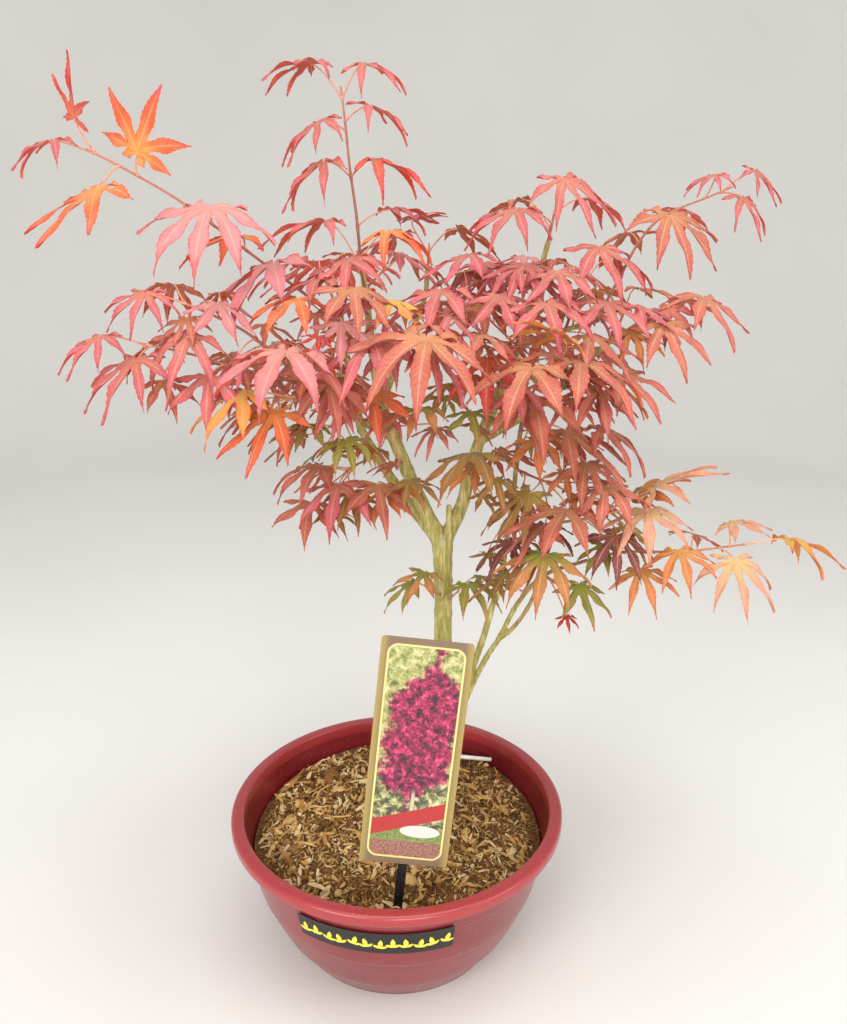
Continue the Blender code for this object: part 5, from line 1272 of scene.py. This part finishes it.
def limb_route(name, table):
    """A limb's points with radii that swell at its leaf scars and flare where it leaves its parent."""
    dice = random.Random(name)
    smooth = smooth_route(table, 14)
    points = [plant_point(p) for p in smooth]
    lengths = arc_lengths(points)
    offset = dice.uniform(4, RING_PITCH)
    radii = []
    for (_, _, _, share), distance in zip(smooth, lengths):
        radius = share * TRUNK_RADIUS
        phase = (distance + offset) % RING_PITCH
        ring = math.exp(-((phase - RING_PITCH / 2) / RING_LENGTH) ** 2)
        flare = math.exp(-distance / FLARE_LENGTH) if name != "trunk" else 0.0
        radii.append(radius * (1 + 0.07 * ring + FORK_FLARE * flare) + 0.16 * ring)
    if name.endswith("stub"):
        radii[-1] *= 0.85
    return points, radii


def build_wood():
    lines = Lines()
    tree_points = []
    for name, table in LIMBS.items():
        points, radii = limb_route(name, table)
        lines.add_line(points, radii, [(0, 0, 0)] * len(points))
        tree_points += [(p, r) for p, r in zip(points, radii)]
    wood = run_tree(lines.as_object("tree_wood"), limb_tree(), sides=16)
    fuse = wood.modifiers.new("grown together", "REMESH")
    fuse.mode = "VOXEL"
    fuse.voxel_size = BARK_VOXEL
    fuse.use_smooth_shade = True
    soften = wood.modifiers.new("healed forks", "SMOOTH")
    soften.iterations = 4
    grown_mesh(wood)
    nearest = kdtree.KDTree(len(tree_points))
    for i, (point, _) in enumerate(tree_points):
        nearest.insert(point * MM, i)
    nearest.balance()
    young, foot, places = [], [], []
    for co, normal in [(v.co.copy(), v.normal.copy()) for v in wood.data.vertices]:
        near = nearest.find_range(co, BARK_REACH) or [nearest.find(co)]
        radius = max(tree_points[index][1] for _, index, _ in near)
        young.append(1.0 - smoothstep(1.1, 2.3, radius))
        scar = smoothstep(0.008, 0.003, abs(co.z - FORK_HEIGHT * MM)) if radius > 3 else 0.0
        foot.append(max(scar, smoothstep(0.2, 0.09, co.z) if radius > 3 else 0.0))
        spot = Vector((co.x, co.y, co.z * 0.22)) / MM
        ridge = noise.fractal(spot * 0.55, 1.0, 2.0, 3) * 0.2 * smoothstep(1.0, 5.0, radius)
        places.extend(co + normal * (ridge * MM))
    wood.data.vertices.foreach_set("co", places)
    add_values(wood.data, "young", "FLOAT", young)
    add_values(wood.data, "foot", "FLOAT", foot)
    shade_smooth(wood)
    wood.data.materials.clear()
    wood.data.materials.append(bark_skin())
    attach(wood, "root")
    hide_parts("trunk_and_branches")


# ---- bowl ------------------------------------------------------------------------------------------------

LEDGE_SHARE = 0.82  # of the wall's height, where the highest ledge runs
LEDGE_STEP = 0.7  # how far a ledge stands out of the wall below it
LEDGE_BACK = 0.28  # and how far its back shows inside
BEND_EASE = 7.0  # height over which a bend of the wall is eased


def wall_height(share):
    return (POT_HEIGHT - LIP_HEIGHT) * share


def wall_radius(z):
    top = POT_DIAMETER / 2 - LIP_OVERHANG
    for (low, narrow), (high, wide) in zip(WALL_BENDS, WALL_BENDS[1:]):
        if z <= wall_height(high) or high == 1.0:
            opening = lerp(narrow, wide, (z - wall_height(low)) / (wall_height(high) - wall_height(low)))
            return lerp(BASE_DIAMETER / 2, top, opening)


def soft_wall_radius(z):
    """The wall's radius with its bends eased into one curve, never outside the CAD's wall."""
    samples = [wall_radius(max(0.0, min(wall_height(1.0), z + BEND_EASE * k / 3))) for k in range(-3, 4)]
    return min(wall_radius(z), sum(samples) / len(samples))


def ledge_heights():
    return [wall_height(share) for share, _ in WALL_BENDS[1:-1]] + [wall_height(LEDGE_SHARE)]


def inner_radius(z):
    """The bowl's inner wall, with the soft backs of the moulded ledges."""
    step = sum(LEDGE_BACK * smoothstep(ledge - 0.8, ledge + 0.8, z) for ledge in ledge_heights())
    under = POT_HEIGHT - LIP_HEIGHT
    return min(POT_DIAMETER / 2 - LIP_OVERHANG - POT_WALL,
               soft_wall_radius(min(z, under)) - POT_WALL - 1.0 + step)


def lathe(name, profile, sides):
    """Turns (radius, height) points round the z axis. A radius of 0 is one point."""
    points, rings, faces = [], [], []
    for radius, z in profile:
        if radius == 0:
            rings.append([len(points)] * sides)
            points.append((0, 0, z))
            continue
        rings.append(list(range(len(points), len(points) + sides)))
        points += [(radius * math.cos(math.tau * i / sides), radius * math.sin(math.tau * i / sides), z)
                   for i in range(sides)]
    for low, high in zip(rings, rings[1:]):
        for i in range(sides):
            j = (i + 1) % sides
            corners = [low[i], low[j], high[j], high[i]]
            face = [c for k, c in enumerate(corners) if c != corners[k - 1]]
            if len(face) > 2:
                faces.append(face)
    return new_object(name, points, faces)


def arc(centre, radius, start, stop, parts):
    return [(centre[0] + radius * math.cos(math.radians(lerp(start, stop, i / parts))),
             centre[1] + radius * math.sin(math.radians(lerp(start, stop,
                                                             i / parts)))) for i in range(parts + 1)]


def pot_profile():
    """From the base's centre up the outer wall, over the rolled lip and down inside."""
    rim = POT_DIAMETER / 2
    under = POT_HEIGHT - LIP_HEIGHT
    foot = BASE_DIAMETER / 2 - 0.8
    profile = [(0, 1.2), (foot - 7, 1.2), (foot - 5.5, 0.0), (foot - 1.5, 0.0), (foot - 0.4, 0.3),
               (foot, 1.2)]
    ledges = ledge_heights()
    z = 2.4
    while z < under - 1.0:
        step = sum(LEDGE_STEP * smoothstep(ledge + 0.9, ledge - 0.3, z) for ledge in ledges)
        profile.append((soft_wall_radius(z) - step * 0.8, z))
        near = min(abs(z - ledge) for ledge in ledges)
        z += 0.35 if near < 1.4 else 2.2
    profile += [(wall_radius(under) - 0.4, under - 0.5), (wall_radius(under) + 0.2, under)]
    profile += [(rim - 1.6, under)] + arc((rim - 1.2, under + 1.2), 1.2, -70, 0, 4)
    profile += arc((rim - 2.6, POT_HEIGHT - 2.6), 2.6, 8, 84, 6)
    inner_lip = rim - LIP_OVERHANG - POT_WALL
    profile += arc((inner_lip + 1.8, POT_HEIGHT - 1.8), 1.8, 92, 176, 5)
    z = POT_HEIGHT - 4.0
    while z > POT_FLOOR + 4:
        profile.append((inner_radius(z), z))
        z -= 2.0
    profile += [(wall_radius(POT_FLOOR) - POT_WALL - 4, POT_FLOOR + 0.6),
                (wall_radius(POT_FLOOR) - 8, POT_FLOOR),
                (0, POT_FLOOR)]
    return profile


def build_pot():
    pot = lathe("bowl", pot_profile(), 160)
    cutters = []
    for i in range(DRAIN_COUNT):
        angle = math.tau * (i + 0.25) / DRAIN_COUNT
        cutter = lathe(f"drain_{i}", [(0, -5), (DRAIN_DIAMETER / 2, -5), (DRAIN_DIAMETER / 2, 9), (0, 9)],
                       28)
        shift = Vector((math.cos(angle), math.sin(angle), 0)) * (DRAIN_CIRCLE / 2 * MM)
        cutter.data.transform(Matrix.Translation(shift))
        boolean = pot.modifiers.new(cutter.name, "BOOLEAN")
        boolean.operation = "DIFFERENCE"
        boolean.solver = "EXACT"
        boolean.object = cutter
        cutters.append(cutter)
    grown_mesh(pot)
    drop(cutters)
    shade_smooth(pot, 38)
    pot.data.materials.clear()
    pot.data.materials.append(pot_plastic())
    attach(pot, "root")
    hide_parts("pot")


# ---- soil ------------------------------------------------------------------------------------------------

def soil_height(x, y):
    reach = wall_radius(SOIL_EDGE_HEIGHT) - POT_WALL
    share = min(1.0, math.hypot(x, y) / reach)
    mound = SOIL_MOUND * (1.0 - share ** 2.4)
    back = SOIL_BACK_RISE * max(0.0, y / reach)
    front = SOIL_FRONT_RISE * max(0.0, -y / reach) * (1.0 - share ** 6)
    return SOIL_EDGE_HEIGHT + mound + back + front


SOIL_RINGS = 40
SOIL_SECTORS = 150
WALL_CLEARANCE = 0.5
CHIP_MARGIN = 1  # rings of the bed left free of chips at the wall
LUMP_HEIGHT = 5.0
SOIL_SIDE_SHARES = (0.92, 0.8, 0.7, 0.6, 0.5, 0.4, 0.3, 0.24, 0.18, 0.12,
                    0.07)  # of the soil's height, downwards
CHIP_SHAPES = 9


def build_soil_bed():
    """The heap itself: a lumpy closed body that ends just inside the wall."""
    reach = inner_radius(SOIL_EDGE_HEIGHT) - WALL_CLEARANCE - 0.6
    points = [(0, 0, soil_height(0, 0) - 1)]
    for ring in range(1, SOIL_RINGS + 1):
        for i in range(SOIL_SECTORS):
            radius = reach * ring / SOIL_RINGS
            angle = math.tau * i / SOIL_SECTORS
            x, y = radius * math.cos(angle), radius * math.sin(angle)
            lumps = noise.fractal(Vector((x, y, 3)) * 0.05, 0.9, 2.0, 5) * LUMP_HEIGHT
            lumps *= smoothstep(1.0, 0.85, ring / SOIL_RINGS)
            points.append((x, y, soil_height(x, y) - 1.2 + lumps))
    top_edge = 1 + (SOIL_RINGS - 1) * SOIL_SECTORS
    for share in SOIL_SIDE_SHARES:
        z = SOIL_EDGE_HEIGHT * share
        for i in range(SOIL_SECTORS):
            angle = math.tau * i / SOIL_SECTORS
            radius = inner_radius(z) - WALL_CLEARANCE
            points.append((radius * math.cos(angle), radius * math.sin(angle), max(z, POT_FLOOR + 0.4)))
    faces = [(0, 1 + i, 1 + (i + 1) % SOIL_SECTORS) for i in range(SOIL_SECTORS)]
    for start in range(1, len(points) - SOIL_SECTORS, SOIL_SECTORS):
        for i in range(SOIL_SECTORS):
            j = (i + 1) % SOIL_SECTORS
            faces.append((start + i, start + SOIL_SECTORS + i, start + SOIL_SECTORS + j, start + j))
    last = len(points) - SOIL_SECTORS
    faces.append(tuple(reversed(range(last, len(points)))))
    bed = new_object("soil_bed", points, faces)
    open_top = [max(face) < top_edge - CHIP_MARGIN * SOIL_SECTORS for face in faces]
    add_values(bed.data, "open_top", "BOOLEAN", open_top, "FACE")
    shade_smooth(bed, 60)
    return bed


def chip_shapes():
    """Loose shapes one unit long: flat splinters, curved fibres and crumbs, as a collection."""
    dice = random.Random(7)
    shapes = bpy.data.collections.new("chips")
    for number in range(CHIP_SHAPES):
        long_fibre = number in (2, 3, 4)
        crumb = number > 6
        rows = 5 if long_fibre else 4
        sides = 4 if long_fibre else 5
        points = []
        bend = dice.uniform(0.1, 0.35) if long_fibre else dice.uniform(0, 0.1)
        width = dice.uniform(0.1, 0.21)
        for row in range(rows):
            t = row / (rows - 1)
            wide = 0.042 if long_fibre else 0.36 if crumb else width
            flat = 1.0 if long_fibre else 0.8 if crumb else 0.4
            girth = math.sin(math.pi * lerp(0.12, 0.88, t)) ** 0.6
            for side in range(sides):
                angle = math.tau * side / sides + dice.uniform(-0.25, 0.25)
                reach = wide * girth * dice.uniform(0.75, 1.2)
                points.append((t - 0.5 + dice.uniform(-0.03, 0.03),
                               reach * math.cos(angle) + bend * (t - 0.5) ** 2 * 4,
                               reach * flat * math.sin(angle) + bend * 0.4 * math.sin(t * 3)))
        faces = []
        for row in range(rows - 1):
            for side in range(sides):
                a, b = row * sides + side, row * sides + (side + 1) % sides
                faces.append((a, b, b + sides, a + sides))
        faces.append(tuple(reversed(range(sides))))
        faces.append(tuple(range((rows - 1) * sides, rows * sides)))
        made = new_object(f"chip_{number}", [tuple(c / MM for c in p) for p in points], faces)
        body = bmesh.new()
        body.from_mesh(made.data)
        bmesh.ops.recalc_face_normals(body, faces=body.faces)
        body.to_mesh(made.data)
        body.free()
        bpy.context.scene.collection.objects.unlink(made)
        shapes.objects.link(made)
    return shapes


def chip_tree(material):
    """Scatters chips over the top of the soil, each turned, sized and toned on its own."""
    tree, start, end = geometry_tree(
        "bark chips over the soil", ("Chips", "Collection", None),
        ("Chips Per Square Metre", "Float", 50000.0),
        ("Smallest", "Float", 0.003), ("Largest", "Float", 0.012), ("Tilt", "Float", 0.5),
        ("Sink", "Float", 0.0),
        ("Last Shape", "Int", 8), ("Seed", "Int", 1))
    seed = start.outputs["Seed"]

    def dice(kind, low, high, number):
        shifted = plus(tree, seed, float(number))
        made = node(tree, "FunctionNodeRandomValue", data_type=kind)
        sockets = [s for s in made.inputs if s.enabled]
        sockets[0].default_value, sockets[1].default_value = low, high
        tree.links.new(shifted, made.inputs["Seed"])
        return next(s for s in made.outputs if s.enabled)

    spread = node(tree, "GeometryNodeDistributePointsOnFaces",
                  {"Mesh": start.outputs["Geometry"], "Density": start.outputs["Chips Per Square Metre"],
                   "Seed": seed, "Selection": named(tree, "open_top", "BOOLEAN")},
                   distribute_method="RANDOM")
    lifted = vector_maths(tree, "SCALE", spread.outputs["Normal"],
                          scale=times(tree, start.outputs["Sink"], dice("FLOAT", -1.0, 1.0, 3)))
    points = node(tree, "GeometryNodeSetPosition", {"Geometry": spread.outputs[0], "Offset": lifted})
    level = node(tree, "FunctionNodeAlignRotationToVector", {"Vector": spread.outputs["Normal"]}, axis="Z")
    turn = dice("FLOAT_VECTOR", (-1, -1, 0), (1, 1, math.tau), 5)
    turn = vector_maths(tree, "MULTIPLY", turn, node(tree, "ShaderNodeCombineXYZ", {
        0: start.outputs["Tilt"], 1: start.outputs["Tilt"], 2: 1.0}).outputs[0])
    rotation = node(tree, "FunctionNodeRotateRotation", {
        "Rotation": level.outputs[0], "Rotate By": node(tree, "FunctionNodeEulerToRotation",
                                                        {0: turn}).outputs[0]},
        rotation_space="LOCAL").outputs[0]
    which = maths(tree, "FLOOR", times(tree, dice("FLOAT", 0.0, 0.999, 13),
                                       plus(tree, start.outputs["Last Shape"], 1.0)))
    shares = maths(tree, "POWER", dice("FLOAT", 0.0, 1.0, 9), 2.2)
    size = plus(tree, start.outputs["Smallest"],
                times(tree, shares, minus(tree, start.outputs["Largest"], start.outputs["Smallest"])))
    shapes = node(tree, "GeometryNodeCollectionInfo", {"Collection": start.outputs["Chips"],
                                                       "Separate Children": True, "Reset Children": True})
    chips = node(tree, "GeometryNodeInstanceOnPoints",
                 {"Points": points.outputs[0], "Instance": shapes.outputs[0], "Pick Instance": True,
                  "Instance Index": which, "Rotation": rotation, "Scale": size})
    toned = node(tree, "GeometryNodeStoreNamedAttribute",
                 {"Geometry": chips.outputs[0], "Name": "tone", "Value": dice("FLOAT", 0.12, 1.05, 17)},
                 data_type="FLOAT", domain="INSTANCE")
    solid = node(tree, "GeometryNodeRealizeInstances", {"Geometry": toned.outputs[0]})
    painted = node(tree, "GeometryNodeSetMaterial", {"Geometry": solid.outputs[0], "Material": material})
    tree.links.new(painted.outputs[0], end.inputs[0])
    return tree


CHIP_LAYERS = {
    # name: (chips per square metre, smallest, largest, tilt, sink, last shape, seed)
    "soil_crumbs": (118000.0, 0.0014, 0.0046, 3.0, 0.0018, 8, 3),
    "soil_grains": (118000.0, 0.0018, 0.0052, 3.0, 0.0026, 8, 21),
    "soil_chips": (125000.0, 0.0035, 0.0095, 0.7, 0.0028, 6, 5),
    "soil_splinters": (15000.0, 0.009, 0.02, 0.5, 0.003, 6, 8),
    "soil_lumps": (3000.0, 0.005, 0.011, 0.6, 0.001, 8, 31),
}


def build_soil():
    bed = build_soil_bed()
    shapes = chip_shapes()
    tree = chip_tree(chip_skin())
    for name, (density, smallest, largest, tilt, sink, last, seed) in CHIP_LAYERS.items():
        layer = bed.copy()
        layer.data = bed.data.copy()
        layer.name = name
        bpy.context.scene.collection.objects.link(layer)
        run_tree(layer, tree, chips=shapes, chips_per_square_metre=density, smallest=smallest,
                 largest=largest,
                 tilt=tilt, sink=sink, last_shape=last, seed=seed)
        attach(layer, "root")
    drop(shapes.objects)
    bpy.data.collections.remove(shapes)
    bed.data.materials.append(soil_skin())
    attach(bed, "root")
    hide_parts("soil")


# ---- card, stake, sticker and stick ----------------------------------------------------------------------

def card_place():
    lean = Matrix.Rotation(math.radians(-CARD_LEAN), 4, "X")
    tilt = Matrix.Rotation(math.radians(CARD_TILT), 4, "Y")
    return Matrix.Translation(CARD_CENTRE) @ lean @ tilt


def build_card():
    """A card with small round corners and eased edges, printed on the side that faces the front."""
    half_w, half_t, half_h = (side / 2 for side in CARD_SIZE)
    outline = []
    for cx, cz, start in ((1, 1, 0), (-1, 1, 90), (-1, -1, 180), (1, -1, 270)):
        centre = (cx * (half_w - CARD_CORNER), cz * (half_h - CARD_CORNER))
        outline += arc(centre, CARD_CORNER, start, start + 90, 5)
    points = []
    for y, shrink in ((-half_t, CARD_EDGE), (-half_t + CARD_EDGE, 0.0), (half_t - CARD_EDGE, 0.0),
                      (half_t, CARD_EDGE)):
        for x, z in outline:
            points.append((x * (1 - shrink / half_w), y, z * (1 - shrink / half_h)))
    count = len(outline)
    faces = [tuple(range(count)), tuple(reversed(range(3 * count, 4 * count)))]
    for ring in range(3):
        for i in range(count):
            j = (i + 1) % count
            a = ring * count
            faces.append((a + j, a + i, a + count + i, a + count + j))
    place = card_place()
    card = new_object("picture_card", [place @ Vector(p) for p in points], faces)
    mesh = card.data
    sheet = mesh.uv_layers.new(name="print")
    for loop in mesh.loops:
        x, _, z = points[loop.vertex_index]
        sheet.data[loop.index].uv = (x / 100, z / 100)
    add_values(mesh, "back", "FLOAT", [float(face.normal.y > 0.7) for face in mesh.polygons], "FACE")
    mesh.materials.append(card_skin())
    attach(card, "root")
    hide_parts("label_card")


def build_stake():
    """A flat moulded strip with eased edges and a rib, that the card is clipped to, pointed in the soil."""
    back = CARD_SIZE[1] / 2 + STAKE_EDGE
    half_h = CARD_SIZE[2] / 2
    place = card_place()
    foot = place @ Vector((0, back, -half_h))
    drop_length = foot.z - soil_height(foot.x, foot.y) + STAKE_DEPTH
    half = STAKE_WIDTH / 2
    near, far, thick = STAKE_EDGE, STAKE_THICKNESS - STAKE_EDGE, STAKE_THICKNESS
    groove = STAKE_THICKNESS - RIB_DEPTH
    section = [(-half + near, 0.0), (half - near, 0.0), (half, near), (half, far), (half - near, thick),
               (0.9, thick), (0.6, groove), (-0.6, groove), (-0.9, thick), (-half + near, thick),
               (-half, far),
               (-half, near)]
    heights = [(-half_h - drop_length, 0.35), (-half_h - drop_length + STAKE_POINT, 1.0)]
    heights += [(lerp(heights[1][0], STAKE_OVERLAP - half_h, i / 12), 1.0) for i in range(1, 13)]
    points = []
    for z, wide in heights:
        points += [place @ Vector((x * wide, back + y, z)) for x, y in section]
    count = len(section)
    faces = [tuple(reversed(range(count))), tuple(range(len(points) - count, len(points)))]
    for start in range(0, len(points) - count, count):
        for i in range(count):
            j = (i + 1) % count
            faces.append((start + i, start + j, start + count + j, start + count + i))
    stake = new_object("card_stake", points, faces)
    shade_smooth(stake, 30)
    stake.data.materials.append(moulded_plastic("stake_plastic", srgb(14, 14, 15), srgb(26, 26, 27),
                                                srgb(110, 92, 70)))
    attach(stake, "root")
    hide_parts("label_stake")


def sticker_point(turn, z, proud):
    radius = wall_radius(z) + LABEL_STANDOFF + proud
    return (radius * math.cos(turn), radius * math.sin(turn), z)


def build_sticker():
    """A dark label bent round the wall, with rounded corners, and a row of small leaf strokes on it."""
    columns, rows = 54, 10
    points, faces = [], []
    middle = math.radians(STICKER_START + STICKER_SWEEP / 2)
    half_sweep = math.radians(STICKER_SWEEP / 2)
    centre_z = STICKER_TOP - STICKER_HEIGHT / 2
    for proud in (0.0, LABEL_THICKNESS):
        for i in range(columns + 1):
            u = lerp(-1, 1, i / columns)
            corner = 1 - 0.07 * smoothstep(0.975, 1.0, abs(u)) ** 2
            for k in range(rows + 1):
                v = lerp(-1, 1, k / rows) * corner
                points.append(sticker_point(middle + u * half_sweep, centre_z + v * STICKER_HEIGHT / 2,
                                            proud))
    stride = rows + 1
    back = (columns + 1) * stride
    for i in range(columns):
        for k in range(rows):
            a = i * stride + k
            faces.append((a, a + 1, a + stride + 1, a + stride))
            faces.append((back + a, back + a + stride, back + a + stride + 1, back + a + 1))
    rim = list(range(stride)) + [i * stride + rows for i in range(1, columns + 1)]
    rim += [columns * stride + k for k in range(rows - 1, -1, -1)] + [i * stride for i in range(columns - 1,
                                                                                                0, -1)]
    for a, b in zip(rim, rim[1:] + rim[:1]):
        faces.append((b, a, back + a, back + b))
    label = new_object("bowl_label", points, faces)
    shade_smooth(label, 40)
    label.data.materials.append(moulded_plastic("label_film", srgb(7, 7, 8), srgb(15, 15, 15),
                                                srgb(70, 62, 52)))
    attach(label, "root")
    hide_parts("pot_sticker")
    build_leaf_strokes(middle, half_sweep, centre_z)


def stroke_shape():
    """A flat pointed leaf stroke one unit long, as a thin closed body."""
    outline = [(t, 0.2 * math.sin(math.pi * t) ** 0.8) for t in (0.0, 0.18, 0.38, 0.6, 0.82, 1.0)]
    loop = outline + [(x, -y) for x, y in reversed(outline[1:-1])]
    points = [(x / MM, y / MM, z / MM) for z in (0.0, 0.03) for x, y in loop]
    count = len(loop)
    faces = [tuple(range(count)), tuple(reversed(range(count, 2 * count)))]
    faces += [((i + 1) % count, i, count + i, count + (i + 1) % count) for i in range(count)]
    return new_object("stroke", points, faces)


def stroke_tree(material):
    """A stroke at every point, turned the way the point's attribute says and as long as its size."""
    tree, start, end = geometry_tree("row of leaf strokes", ("Stroke", "Object", None))
    shape = node(tree, "GeometryNodeObjectInfo", {"Object": start.outputs["Stroke"]})
    placed = node(tree, "GeometryNodeInstanceOnPoints",
                  {"Points": start.outputs["Geometry"], "Instance": shape.outputs["Geometry"],
                   "Rotation": node(tree, "FunctionNodeEulerToRotation",
                                    {0: named(tree, "turn", "FLOAT_VECTOR")}).outputs[0],
                   "Scale": named(tree, "size")})
    solid = node(tree, "GeometryNodeRealizeInstances", {"Geometry": placed.outputs[0]})
    painted = node(tree, "GeometryNodeSetMaterial", {"Geometry": solid.outputs[0], "Material": material})
    tree.links.new(painted.outputs[0], end.inputs[0])
    return tree


SPRIGS = 12
SPRIG_HEIGHT = 6.8
SPRIG_STROKES = ((90, 7.6), (30, 5.0), (150, 5.0))  # degrees above the row, and length


def build_leaf_strokes(middle, half_sweep, centre_z):
    """Small sprigs of three strokes along the label, swaying a little up and down."""
    points, turns, sizes = [], [], []
    for i in range(SPRIGS):
        u = lerp(-0.9, 0.9, i / (SPRIGS - 1))
        turn = middle + u * half_sweep
        z = centre_z + 0.7 * math.sin(i * 1.9)
        foot = Vector(sticker_point(turn, z - SPRIG_HEIGHT / 2, INK_STANDOFF))
        rise = (Vector(sticker_point(turn, z, INK_STANDOFF)) - foot).normalized()
        level = Vector((-math.sin(turn), math.cos(turn), 0))
        normal = level.cross(rise)
        for spin, size in SPRIG_STROKES:
            spin = math.radians(spin + 14 * math.sin(i * 2.7))
            ahead = level * math.cos(spin) + rise * math.sin(spin)
            basis = Matrix((ahead, normal.cross(ahead), normal)).transposed()
            points.append(foot)
            turns.append(tuple(basis.to_euler()))
            sizes.append(size * MM)
    row = new_object("label_strokes", points, [])
    add_values(row.data, "turn", "FLOAT_VECTOR", turns)
    add_values(row.data, "size", "FLOAT", sizes)
    stroke = stroke_shape()
    run_tree(row, stroke_tree(gilt_ink()), stroke=stroke)
    drop([stroke])
    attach(row, "root")


def build_stick():
    """The round white stick with softened ends, lying where the CAD has it."""
    low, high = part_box("white_stick")
    low, high = low / MM, high / MM
    radius = STICK_DIAMETER / 2
    y = (low.y + high.y) / 2
    left = Vector((low.x + 0.3, y, high.z - radius))
    right = Vector((high.x - 0.3, y, low.z + radius))
    length = (right - left).length
    profile = [(0, 0), (radius * 0.7, 0.05), (radius, 0.5), (radius, length / 2), (radius, length - 0.5),
               (radius * 0.7, length - 0.05), (0, length)]
    stick = lathe("white_rod", profile, 20)
    turn = Vector((0, 0, 1)).rotation_difference(right - left).to_matrix().to_4x4()
    stick.data.transform(Matrix.Translation(left * MM) @ turn)
    shade_smooth(stick, 50)
    stick.data.materials.append(moulded_plastic("rod_plastic", srgb(222, 220, 212), srgb(240, 238, 232),
                                                srgb(150, 124, 92)))
    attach(stick, "root")
    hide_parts("white_stick")


# ---- studio ----------------------------------------------------------------------------------------------

LAMPS = {
    # name: (place, target, width and height, watts, colour)
    "overhead": ((0.1, -0.35, 1.9), (0, 0, 0.25), (1.5, 1.2), 20, (1.0, 0.98, 0.96)),
    "front_left": ((-0.9, -1.4, 0.95), (0, 0, 0.3), (0.9, 0.9), 15, (1.0, 0.98, 0.97)),
    "by_the_lens": ((0.25, -1.5, 0.62), (0.03, 0, 0.3), (0.6, 0.6), 9, (1.0, 0.98, 0.95)),
    "right_fill": ((1.4, -0.6, 0.9), (0, 0, 0.3), (0.9, 0.9), 6, (0.97, 0.98, 1.0)),
}
CAMERA_PLACE = (0.0176, -0.4961, 0.4422)
CAMERA_DROP = 16.4  # degrees below level
FOCAL_LENGTH = 29.88
SENSOR_WIDTH = 36.0
COVE_START = 1500
COVE_RADIUS = 900


def build_stage():
    """A pale floor whose far edge curves up all round, so that no horizon shows."""
    profile = [(0, 0), (400, 0), (COVE_START, 0)] + arc((COVE_START, COVE_RADIUS), COVE_RADIUS, -85, -5, 12)
    profile.append((COVE_START + COVE_RADIUS, 2600))
    floor = lathe("floor", profile, 96)
    floor.data.flip_normals()
    shade_smooth(floor)
    made, tree, shader = new_material("pale_floor", roughness=0.85, specular_ior_level=0.2)
    cloudy = speckle(tree, object_place(tree), 2.0, 2.0)
    tree.links.new(ramp(tree, cloudy, (0.3, srgb(222, 220, 216)), (0.7, srgb(228, 226, 222))),
                   shader.inputs["Base Color"])
    floor.data.materials.append(made)


def add_lamp(name, place, target, size, watts, colour):
    light = bpy.data.lights.new(name, "AREA")
    light.shape = "RECTANGLE"
    light.size, light.size_y = size
    light.energy = watts
    light.color = colour
    lamp = bpy.data.objects.new(name, light)
    lamp.location = place
    lamp.rotation_euler = (Vector(target) - Vector(place)).to_track_quat("-Z", "Y").to_euler()
    bpy.context.scene.collection.objects.link(lamp)


def build_studio():
    build_stage()
    for name, lamp in LAMPS.items():
        add_lamp(name, *lamp)
    world = bpy.data.worlds.new("soft room")
    world.use_nodes = True
    background = world.node_tree.nodes["Background"]
    background.inputs["Color"].default_value = (0.93, 0.95, 1.0, 1.0)
    background.inputs["Strength"].default_value = 0.55
    bpy.context.scene.world = world
    bpy.context.scene.view_settings.view_transform = "Standard"
    eye = bpy.data.cameras.new("camera")
    eye.sensor_width = SENSOR_WIDTH
    eye.lens = FOCAL_LENGTH
    eye.clip_end = 20.0
    camera = bpy.data.objects.new("camera", eye)
    camera.location = CAMERA_PLACE
    camera.rotation_euler = (math.radians(90 - CAMERA_DROP), 0, 0)
    bpy.context.scene.collection.objects.link(camera)
    bpy.context.scene.camera = camera


build_studio()
build_pot()
build_soil()
build_card()
build_stake()
build_sticker()
build_stick()
build_wood()
build_shoots()
